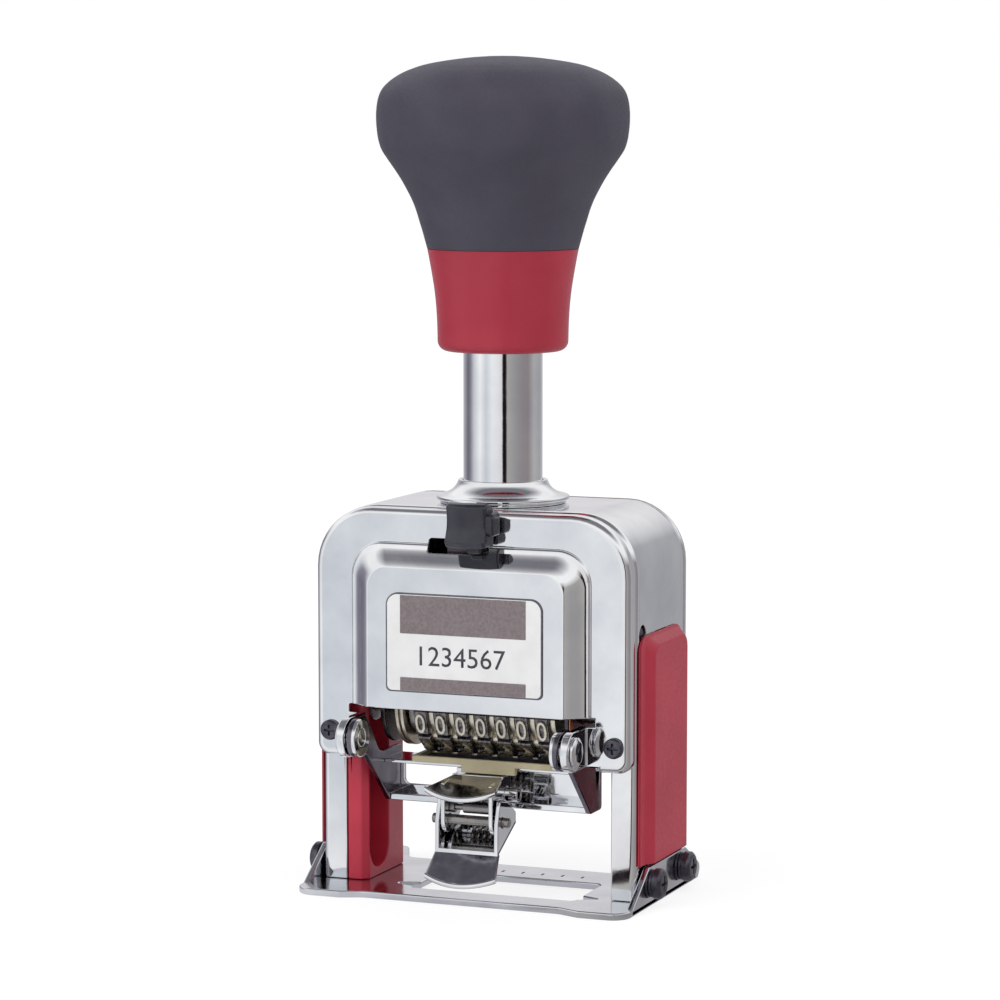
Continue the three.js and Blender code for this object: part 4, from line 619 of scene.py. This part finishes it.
# Rear cover: a flat sheet of steel, nickel plated and screwed to the frame's rear flange. It is cut out over
# the wheels so that they can be brushed.
rear = plate("rear_sheet", "Y", rounded([
    (-30.4, 24.7, 2.2), (-23.7, 24.7, 2.0), (-23.7, 34.4, 2.2), (23.7, 34.4, 2.2), (23.7, 24.7, 2.0),
    (30.4, 24.7, 2.2), (30.4, 70.5, 11), (-30.4, 70.5, 11)]), 13.45, 14.35)
dress(soften(rear, 0.25), nickel, "plated_steel", "housing", "rear_cover")

# Top collar: the plunger's bearing, turned from steel and nickel plated. Its sleeve goes down through the
# frame to a nut, and above the flange its neck flares in to the tube.
collar_flare = 8.1 + np.array([1, 0.62, 0.3, 0.1, 0]) * 4.0
collar_rise = 71.85 + np.array([0, 0.12, 0.36, 0.68, 1]) * 2.8


def smooth_line(points, steps=6):
    """Catmull-Rom curve through points: each span blends its four nearest points with cubic weights."""
    held = np.vstack([2 * points[0] - points[1], points, 2 * points[-1] - points[-2]])
    t = np.linspace(0, 1, steps, endpoint=False)[None, :, None]
    a, b, c, d = (held[i:len(held) - 3 + i, None, :] for i in range(4))
    spans = 0.5 * (2 * b + (c - a) * t + (2 * a - 5 * b + 4 * c - d) * t ** 2 + (3 * b - a - 3 * c + d) * t ** 3)
    return np.vstack([spans.reshape(-1, points.shape[1]), points[-1:]])


flange = np.vstack([
    rounded([(7.35, 66.15, 0.15), (8.8, 66.15, 0.2), (8.8, 70.55, 0), (11.5, 70.55, 0.15), (11.5, 71.12, 0.1),
             (12.1, 71.12, 0.25), (12.1, 71.8, 0.25), (11.0, 71.95, 0)])[:-1],
    smooth_line(np.stack([collar_flare, collar_rise], axis=1))[3:],
    [(7.95, 74.63), (7.5, 74.65), (7.36, 74.5)]])
dress(turned("flared_collar", flange), nickel, "plated_steel", "housing", "top_collar")

# Nut, cross bar, plug and return spring: working parts of plain steel, turned or wound, inside the frame and
# the tube. Turned steel is greyer and duller than the plate, with a slight warm tint.
bright_steel = surfaced("turned_steel", ("#8E8A88", "#A09C98"), 4, (0.2, 0.34), 0.3, 0.002, metallic=1.0)
coat(bright_steel, "collar_nut", "spring_bar", "spring_plug", "return_spring")

# Plunger tube: drawn steel tube, polished and nickel plated, slotted on both sides to pass the cross bar. A
# step of 0.01 mm above the slots keeps their cut out of the long faces that stay in sight.
tube = turned("drawn_tube", rounded([
    (6.2, 44.25, 0.2), (7.19, 44.25, 0.2), (7.19, 73.8, 0), (7.2, 74.3, 0), (7.2, 126, 0.2), (6.2, 126, 0.2)]),
              sides=128)
cut(tube, plate("slot", "X", rectangle(-2.8, 2.8, 46.35, 73.55, 0.8), -9, 9))
tube.data.set_sharp_from_angle(angle=math.radians(38))
dress(tube, nickel, "plated_steel", "plunger", "plunger_tube")

# Handle collar: a sleeve moulded in the guards' red ABS and pressed on the tube under the grip. Its foot is
# rounded and hollow, so that it can drop over the top collar.
collar_outline = np.array([
    (11.85, 100.3), (11.93, 103.2), (12.1, 106.1), (12.4, 109.0), (12.85, 111.9), (13.35, 114.7), (13.68, 116.4)])
foot_radius, foot_height, edge_radius = 11.85, 98, 1.9
bend = np.linspace(-np.pi / 2, 0, 10)
foot = np.stack([foot_radius + edge_radius * (np.cos(bend) - 1),
                 foot_height + edge_radius * (np.sin(bend) + 1)], axis=1)
bore = [(7.4, 116.45), (7.4, 100.2), (9.2, 100.2), (9.2, foot_height)]
sleeve = np.vstack([bore, foot, smooth_line(collar_outline)[1:], [(13.55, 116.47)]])
dress(turned("red_sleeve", sleeve, sides=128), red_abs, "red_moulding", "plunger", "handle_collar")

# Handle grip: a knob of thermoplastic rubber moulded over the tube's end, with a fine spark-eroded grain and
# a faint parting line round its crown. The grain scatters light, so that it looks matt and soft. It is drawn
# at 0.45 mm, coarser than the real one, so that it shows.
rubber = surfaced("moulded_soft_touch_rubber", ("#43404D", "#484552"), 7, (0.55, 0.68), 0.45, 0.012, 0.02)
grip_outline = np.array([
    (13.7, 116.5), (14.1, 118.0), (14.6, 119.8), (15.15, 121.6), (15.7, 123.4), (16.4, 125.2),
    (17.3, 127.0), (18.3, 128.8), (19.45, 130.6), (20.7, 132.4), (21.85, 134.2), (22.42, 135.9),
    (22.7, 137.7), (22.83, 139.5), (22.8, 141.3), (22.5, 143.3), (21.8, 145.0), (20.5, 146.4),
    (18.6, 147.7), (16.4, 148.7), (13.8, 149.5), (10.3, 150.15), (6.0, 150.7), (2.5, 150.95)])
crown = smooth_line(grip_outline)
parting_height, parting_depth, parting_width = 148.75, 0.07, 0.12
crown[:, 0] -= parting_depth * np.exp(-((crown[:, 1] - parting_height) / parting_width) ** 2)
grip_profile = np.vstack([[(0, 126.3)], [(7.35, 126.3)], [(7.35, 116.6)], [(13.4, 116.5)], crown, [(0, 151)]])
dress(turned("soft_grip", grip_profile, sides=160), rubber, "black_grip", "plunger", "handle_grip")

# Carriage: a yoke folded from sheet steel, browned in a hot bath and riveted under the tube. Its cheeks hold
# the wheels' shaft. Browning leaves a dark, warm mirror.
browned = surfaced("browned_steel", ("#4A4247", "#5E565A"), 3, (0.22, 0.38), 0.4, 0.002, 0.02, metallic=1.0)
shaft = shaft_y, shaft_z = (-7.0, 34.3)
cheek = rounded([(-14.6, 26.7, 6.8), (0.6, 26.7, 6.8), (9.2, 43.95, 0.6), (9.2, 46.35, 0.4), (-14.4, 46.35, 0.4),
                 (-14.4, 43.95, 0.6)])
yoke = cut(plate("folded_yoke", "Y", rectangle(-18.2, 18.2, 43.95, 46.35, 0.3), -14.4, 9.2),
           plate("hole", "Z", circle(0, 0, 7.3, 72), 43, 48))
joined(yoke, *pair("cheek", cheek, 17.3, 18.2, (shaft, 2.5)))
dress(soften(yoke, 0.22), browned, "plain_steel", "plunger", "carriage")

# Leaf spring: a strip of rolled phosphor bronze, riveted to the right cheek. It is left bare, with a warm
# dull shine.
bronze = surfaced("bare_phosphor_bronze", ("#A86F48", "#BD8257"), 2.5, (0.2, 0.35), 0.3, 0.001, metallic=1.0)
leaf = plate("bronze_leaf", "X", rectangle(-14.4, -13.0, 29.8, 38.8, 0.5), 18.26, 18.5)
dress(soften(leaf, 0.06, 2), bronze, "copper_alloy", "plunger", "leaf_spring")


# Shaft, sliders and spacer: a ground steel rod through the wheels and the carriage's cheeks, with turned
# bushes pressed on its ends that run in the guides' slots.
def bush(name, axis, centre, bore, radius, low, high, edge=0.2, sides=64):
    """A turned ring or rod from low to high along its axis, with rounded edges."""
    fine = min(edge, 0.1)
    inner = [(bore, low, fine), (radius, low, edge), (radius, high, edge), (bore, high, fine)]
    solid = [(0, low, 0), (radius, low, edge), (radius, high, edge), (0, high, 0)]
    return turned(name, rounded(inner if bore else solid), axis, centre, sides)


for name, bore, radius, low, high, node in (
    ("shaft_rod", 0, 2.4, -25.2, 28.9, "wheel_shaft"), ("left_bush", 2.45, 4.15, -25.2, -21.9, "left_slider"),
    ("right_bush", 2.45, 4.15, 26.0, 28.9, "right_slider"),
    ("spacing_bush", 2.45, 6.4, -13.2, -11.4, "shaft_spacer"),
):
    dress(bush(name, "X", shaft, bore, radius, low, high), bright_steel, "plain_steel", "plunger", node)

# Number wheels: type wheels engraved in nickel silver, seven on one shaft. Each is a drum with ten raised type
# blocks, a figure on each block and a ratchet ring milled at its right edge. The blocks are painted a dark,
# patchy grey, painted shade as falls between and under the figures, and the figures' faces and the rims are a
# warm, pale grey.
type_metal = surfaced("engraved_nickel_silver", ("#CBC4B3", "#E2DBCA"), 1.6, (0.26, 0.42), 0.35, 0.004,
                      metallic=1.0)
# Painted shade: the blocks' dark, patchy grey stands in for the shade between and under the figures.
shade_painted_type_metal = surfaced("nickel_silver_with_painted_shade", ("#47444A", "#8D8987"), 0.7, (0.2, 0.38), 0.3, 0.004, metallic=1.0)
wheel_left, type_width, ratchet_width, wheel_bore = -11.1, 2.5, 1.1, 2.55
figure_width, figure_height, figure_foot, figure_relief = 2.9, 3.75, 8.75, 0.43
turn = np.arange(10) * np.pi / 5
outwards = np.stack([0 * turn, -np.sin(turn), np.cos(turn)], axis=1)
upwards = np.stack([0 * turn, -np.cos(turn), -np.sin(turn)], axis=1)
rightwards = np.array([1, 0, 0])
axle = np.array([0, shaft_y, shaft_z])
glyphs = [figure(str(number)) for number in range(10)]
tooth = np.linspace(0, 1, 14, endpoint=False)
tooth_root, tooth_tip, tooth_face, tooth_fall = 7.2, 8.3, 0.12, 0.9
tooth_back = (np.clip(tooth - tooth_face, 0, 1) / (1 - tooth_face)) ** 2
tooth_radius = np.where(tooth < tooth_face, tooth_root + (tooth_tip - tooth_root) * tooth / tooth_face,
                        tooth_tip - tooth_fall * tooth_back)
tooth_angle = ((np.arange(10)[:, None] + tooth) * np.pi / 5).ravel()
ratchet_line = np.stack([shaft_y + np.tile(tooth_radius, 10) * np.cos(tooth_angle),
                         shaft_z + np.tile(tooth_radius, 10) * np.sin(tooth_angle)], axis=1)
block_rows = np.array([(7.7, 2.35, 1.25), (8.5, 2.35, 1.25), (8.72, 2.27, 1.2), (8.82, 2.15, 1.1)])
corner_signs = np.array([(-1, -1), (1, -1), (1, 1), (-1, 1)])
for index in range(7):
    name = f"number_wheel_{index + 1}"
    low = wheel_left + wheel_pitch * index
    middle, high = low + type_width / 2, low + type_width
    drum = bush(f"{name}_drum", "X", shaft, wheel_bore, 8.05, low, high, 0.15, 60)
    ring = plate("ratchet", "X", ratchet_line, high, high + ratchet_width)
    cut(ring, plate("hole", "X", circle(*shaft, wheel_bore), low, low + 5))
    radius, length, width = (block_rows[:, k][None, :, None, None] for k in range(3))
    centre = axle + (middle, 0, 0)
    blocks = (centre + radius * outwards[:, None, None]
              + length * corner_signs[:, 1][None, None, :, None] * upwards[:, None, None]
              + width * corner_signs[:, 0][None, None, :, None] * rightwards)
    dress(soften(joined(drum, ring), 0.07, 2, 50), type_metal, "plain_steel", f"wheel_{index + 1}", name)
    dress(soften(skin(f"{name}_blocks", blocks), 0.08, 2, 50), shade_painted_type_metal, "plain_steel", f"wheel_{index + 1}")
    all_points, all_faces, count = [], [], 0
    for place in range(10):
        points, faces = glyphs[(13 - place) % 10]
        all_points.append(centre + figure_width * points[:, :1] * rightwards
                          + figure_height * points[:, 1:2] * upwards[place]
                          + (figure_foot + figure_relief * points[:, 2:]) * outwards[place])
        all_faces += [[corner + count for corner in face] for face in faces]
        count += len(points)
    figures = closed(mesh_object(f"{name}_figures", np.vstack(all_points), all_faces), 30)
    dress(figures, type_metal, "plain_steel", f"wheel_{index + 1}")

# Feed frame: a double disc and an arm of steel on the shaft, joined by a bar behind the wheels. It rocks on
# the shaft at each stroke, and the hardened pawl comb under its bar steps the wheels.
double_disc = turned("feed_discs", rounded([
    (2.55, -15.15, 0), (8.1, -15.15, 0.12), (8.1, -14.5, 0.12), (6.9, -14.5, 0.05), (6.9, -14.15, 0.05),
    (8.1, -14.15, 0.12), (8.1, -13.5, 0.12), (2.55, -13.5, 0)]), "X", shaft, 96)
feed_line = rectangle(-11.15, 6.5, 33.0, 35.6, 1.28)
feed_arms = [plate("left_arm", "X", feed_line, -15.1, -13.55), plate("right_arm", "X", feed_line, 16.35, 17.05)]
for part in feed_arms:
    soften(cut(part, punch(shaft, wheel_bore)), 0.15, 2)
hub = bush("right_hub", "X", shaft, wheel_bore, 4.15, 16.36, 17.04, 0.12)
feed_bar = bush("feed_bar", "X", (5.2, 34.3), 0, 1.3, -15.1, 17.0, 0.2, 32)
dress(double_disc, type_metal, "plain_steel", "feed", "feed_frame")
for part in (*feed_arms, hub, feed_bar):
    dress(part, bright_steel, "plain_steel", "feed")
finger_left = wheel_left + type_width + 0.15
comb = plate("comb_back", "Y", rectangle(-13.2, 16.05, 30.55, 32.95, 0.3), 3.9, 6.5)
finger_reach, finger_drop, finger_gap = 8.6, 3.7, 0.3
comb_tip = shaft_y + math.sqrt(finger_reach ** 2 - finger_drop ** 2) + finger_gap
fingers = [plate("finger", "Y", rectangle(x, x + 0.8, 30.55, 31.75, 0.15), comb_tip, 4.1)
           for x in finger_left + wheel_pitch * np.arange(7)]
joined(comb, *fingers)
# Oiled ground steel: a grey sheen without a clear image.
dark_steel = surfaced("oiled_ground_steel", ("#5A555A", "#726D6E"), 3, (0.25, 0.4), 0.4, 0.001, metallic=1.0)
dress(soften(comb, 0.1, 2), dark_steel, "plain_steel", "feed", "pawl_comb")

# Ink-pad frame: one stamping of plated steel with two arms, a shelf for the pad, a windowed back plate and a
# bottom lip. It hangs on the cover's ears by headed pins and swings forward as the plunger comes down. Its arms
# are a darker, smoky grey plate: painted shade, standing in for the dark reflections that they show.
arm_line = rounded([(-25.5, 25.8, 3.45), (-18.5, 25.8, 1.6), (-7.8, 15.6, 0.8), (-2.2, 15.6, 0.8),
                    (-2.2, 25.2, 0.8), (-12.5, 25.2, 3.5), (-18.5, 32.8, 1.6), (-25.5, 32.8, 3.45)])
hanger_half, hanger_rear = 19.15, -2.21
hanger = cut(plate("pad_hanger", "Y", rectangle(-hanger_half, hanger_half, 15.62, 23.68), -3.0, -2.22),
             plate("window", "Y", rectangle(-18.2, -2.5, 17.9, 22.45, 1.1), -5, 0))
arms = pair("pad_arms", arm_line, 19.1, 20.1, (pivot_place, pivot_hole, 48, 22))
eyes = pair("eye", circle(*pivot_place, 3.45, 56), 18.5, 20.12, (pivot_place, pivot_hole))
joined(hanger, *eyes,
       plate("shelf", "Z", rectangle(-hanger_half, hanger_half, -10.5, hanger_rear), 23.0, 23.7),
       plate("lip", "Z", rectangle(-hanger_half, hanger_half, -7.8, hanger_rear), 15.6, 16.8))
dress(soften(hanger, 0.24), nickel, "plated_steel", "pad", "pad_frame")
# Painted shade: the arms' darker plate stands in for the dark reflections they show.
shade_darkened_arm_nickel = surfaced("nickel_darkened_as_painted_shade", ("#645F68", "#7B7680"), 5, (0.1, 0.22), 1.5, 0.001, 0.04, metallic=1.0)
dress(soften(joined(*arms), 0.2), shade_darkened_arm_nickel, "plated_steel", "pad")
for word, side in (("left", -1), ("right", 1)):
    pin = turned(f"headed_pin_{word}", [(r, side * x) for r, x in rounded([
        (0, 18.5, 0), (1.6, 18.5, 0.2), (1.6, 22.15, 0), (2.7, 22.15, 0.15), (2.7, 22.6, 0.25), (2.0, 23.0, 0.6),
        (0, 23.05, 0)])], "X", pivot_place, 48)
    dress(pin, nickel, "plated_steel", "housing", f"pivot_pin_{word}")

# Pad case: an open tray moulded in cream ABS with a lug over the shelf's front, and in it a pressed wool felt.
# The ABS has a plain half-matt skin, and the ink makes the felt a deep, matt violet black.
cream = surfaced("moulded_cream_abs", ("#BDB391", "#CEC3A0"), 5, (0.4, 0.52), 0.4, 0.003)
felt_ink = surfaced("inked_wool_felt", ("#2A2735", "#3A3648"), 1.2, (0.8, 0.95), 0.35, 0.05)
case = plate("pad_tray", "Z", rectangle(-13.2, 17.9, -12, -3.2, 0.5), 23.75, 24.9)
cut(case, plate("well", "Z", rectangle(-12.4, 17.1, -11.2, -4.0, 0.3), 24.1, 26))
joined(case, plate("lug", "Z", rectangle(-3.5, 7, -11.98, -10.65, 0.3), 22.4, 24.0))
dress(soften(case, 0.14, 2), cream, "cream_moulding", "pad", "pad_case")
felt_rows, felt_crown = 13, 0.42
swell = 1 - np.linspace(-1, 1, felt_rows) ** 6
felt_x, felt_y = np.meshgrid(
    np.linspace(-12.3, 17.0, felt_rows), np.linspace(-11.1, -4.1, felt_rows), indexing="ij")
felt_top = 24.15 + felt_crown * swell[:, None] * swell
felt = skin("felt_pad", np.stack([felt_x, felt_y, felt_top], axis=-1), around=False, caps=False)
depth = felt.modifiers.new("felt_depth", "SOLIDIFY")
depth.thickness, depth.offset = 0.05 * MM, -1
dress(felt, felt_ink, "ink_felt", "pad", "ink_pad")


# Upper grip: a plated stamping under the shelf. Its cheeks hold the latch's pin and a cross tube, and its front
# is a dished tab for the finger with a rolled rim. The tab's plate is a darker grey: painted shade, standing in
# for the dark reflections that it shows.
tab_sheet = 0.8


def dished(name, rear_half, rear_y, rear_z, front_half, front_y, front_z, dish, bow):
    """A dished tab: for s across and t along, x = s w(t), y and z run straight from rear to front, and
    both gain t s^2 times the bow and the dish, so that the front edge bows and the sides curl up."""
    s, t = np.meshgrid(np.linspace(-1, 1, 25), np.linspace(0, 1, 17))
    across = s * (rear_half + (front_half - rear_half) * t)
    along = rear_y + (front_y - rear_y) * t + bow * t * s ** 2
    height = rear_z + (front_z - rear_z) * t + dish * t * s ** 2
    tab = skin(name, np.stack([across, along, height], axis=-1), around=False, caps=False)
    wall = tab.modifiers.new("sheet", "SOLIDIFY")
    wall.thickness, wall.offset = tab_sheet * MM, 0
    return soften(tab, 0.3, 4, 50)


def rolled(name, half, y, z, dish, bow, radius=0.5):
    """The rim rolled along a dished tab's front edge: about each point of the edge (s half, y + bow s^2,
    z + dish s^2) lies a circle of the radius in the YZ plane."""
    s, a = np.meshgrid(np.linspace(-1, 1, 41), np.linspace(0, 2 * np.pi, 20, endpoint=False), indexing="ij")
    rings = place_on("X", y + bow * s ** 2 + radius * np.cos(a), z + dish * s ** 2 + radius * np.sin(a), s * half)
    return skin(name, rings, sharp=60)


latch_place, cross_place = (-15.5, 14.5), (-10.9, 18.8)
cheek = rounded([(-17.9, 12.1, 2.38), (-13.1, 12.1, 2.38), (-8.9, 16.2, 1.3), (-8.9, 22.2, 0.3),
                 (-17.9, 21.4, 0.3)])
holder = plate("grip_bridge", "Z", rectangle(-4.98, 4.98, -12.6, -8.92), 21.4, 22.2)
joined(holder, *pair("cheek", cheek, 4.2, 5.0, (latch_place, 0.95, 32, 7), (cross_place, 1.35, 32, 7)),
       plate("riser", "Z", rectangle(-4.98, 4.98, -10.35, -8.92), 21.5, 22.95))
# Painted shade: the darker plate of the dished tab and the thumb tongue stands in for the dark reflections they
# show.
shade_darkened_tab_nickel = surfaced("tab_nickel_with_painted_shade", ("#96949C", "#AFADB4"), 3, (0.06, 0.16), 1.5, 0.0006, 0.04,
                   metallic=1.0)
dress(soften(holder, 0.18), nickel, "plated_steel", "pad", "upper_grip")
dress(dished("finger_tab", 4.6, -11.8, 21.8, 6.8, -22.2, 19.4, 1.3, 1.4), shade_darkened_tab_nickel, "plated_steel", "pad")
dress(rolled("finger_tab_rim", 6.8, -22.2, 19.4, 1.3, 1.4), nickel, "plated_steel", "pad")

# Latch pin, spacer bar and cross tube: turned steel between the grip's cheeks, the tube plated, and a torsion
# spring of music wire coiled round the tube, which holds the latch open.
hinge = bush("hinge_rod", "X", latch_place, 0, 0.9, -7.4, 7.4, 0.25, 32)
dress(hinge, bright_steel, "plain_steel", "pad", "latch_pin")
spacer = turned("necked_bar", rounded([
    (0, -4.15, 0), (1.05, -4.15, 0.15), (1.05, -3.2, 0.12), (0.55, -3.2, 0.05), (0.55, -1.6, 0.05),
    (1.05, -1.6, 0.12), (1.05, 4.15, 0.15), (0, 4.15, 0)]), "X", (-14.9, 16.7), 40)
dress(spacer, bright_steel, "plain_steel", "pad", "grip_spacer")
crossing = bush("open_tube", "X", cross_place, 0.8, 1.3, -7.4, 7.4, 0.12, 40)
dress(crossing, nickel, "plated_steel", "pad", "cross_tube")
coil_turns, steps_a_turn, coil_left, coil_length, wire_radius = 6, 28, -3.55, 7.1, 0.34
run = np.linspace(0, 1, coil_turns * steps_a_turn + 1)[:, None]
wire_turn = 2 * np.pi * coil_turns * run
wire_round = np.linspace(0, 2 * np.pi, 12, endpoint=False)
coil_radius = 1.95 + wire_radius * np.cos(wire_round)
coil_x = coil_left + coil_length * run + wire_radius * np.sin(wire_round)
coil = place_on("X", cross_place[0] + coil_radius * np.cos(wire_turn),
                cross_place[1] + coil_radius * np.sin(wire_turn),
                coil_x)
dress(skin("wire_coil", coil), bright_steel, "plain_steel", "pad", "latch_spring")

# Latch lever: a second plated stamping. Two cheeks turn on the pin, a web slopes up behind it, and the lower
# tongue is dished like the tab above it, so that thumb and finger can squeeze the two together.
lever_cheek = rounded([
    (-18, 8.7, 0), (-9, 13.3, 0), (-9, 15.4, 0.6), (-14.3, 18.6, 0.6), (-16.7, 18.6, 0.6), (-17.9, 14.5, 0)])
web = rounded([(-18, 8.7, 0), (-9, 13.3, 0), (-9, 14.1, 0), (-18, 9.5, 0)])
lever = plate("lever_web", "X", web, -6.1, 6.1)
joined(lever, *pair("cheek", lever_cheek, 5.3, 6.1, (latch_place, 1.05, 32)))
dress(soften(lever, 0.18), nickel, "plated_steel", "latch", "latch_lever")
# The thumb tongue takes the same darker plate: painted shade.
dress(dished("thumb_tongue", 6.1, -17.2, 9.1, 6.8, -22.2, 3.8, 1.2, 1.4), shade_darkened_tab_nickel, "plated_steel", "latch")
dress(rolled("thumb_tongue_rim", 6.8, -22.2, 3.8, 1.2, 1.4), nickel, "plated_steel", "latch")

# Selector: a thumb piece moulded in black ABS, with a stepped fin at its right, on a browned steel slide behind
# the cover's sheet that sets how often each number repeats. The polished mould gives it clear grey lights.
black_abs = surfaced("moulded_black_abs", ("#22222C", "#2F2F3B"), 4, (0.16, 0.26), 0.4, 0.001, 0.03)
knob_line = rounded([(-16.8, 64.4, 0), (-16.8, 71.3, 1.6), (-19.6, 72.35, 1.5), (-21.5, 71.9, 0.9),
                     (-20.8, 68.4, 5), (-22.2, 65.3, 0.5), (-21.6, 64.4, 0.4)])
fin_line = rounded([(-16.8, 66.45, 0), (-16.8, 70.98, 1.0), (-20.5, 70.3, 1.0), (-20.5, 66.45, 1.0)])
knob_middle, knob_half, knob_bow = 1, 3.9, 0.8
front_share = np.clip((-18.5 - knob_line[:, 0]) / 2, 0, 1)
knob = skin("thumb_piece", np.stack([
    place_on("X", knob_line[:, 0] + knob_bow * s ** 2 * front_share, knob_line[:, 1], knob_middle + knob_half * s)
    for s in np.linspace(-1, 1, 13)]))
joined(knob, plate("fin", "X", fin_line, 4.5, 6.1),
       plate("stem", "Y", rectangle(0.2, 2.8, 63.0, 64.9), -18.2, -14.8))
dress(soften(knob, 0.45, 4), black_abs, "black_moulding", "selector", "selector_knob")
slide = plate("slide_plate", "Y", rectangle(-5, 8, 60.95, 66.95, 0.6), -14.75, -13.95)
dress(soften(slide, 0.12, 2), browned, "plain_steel", "selector", "selector_slide")
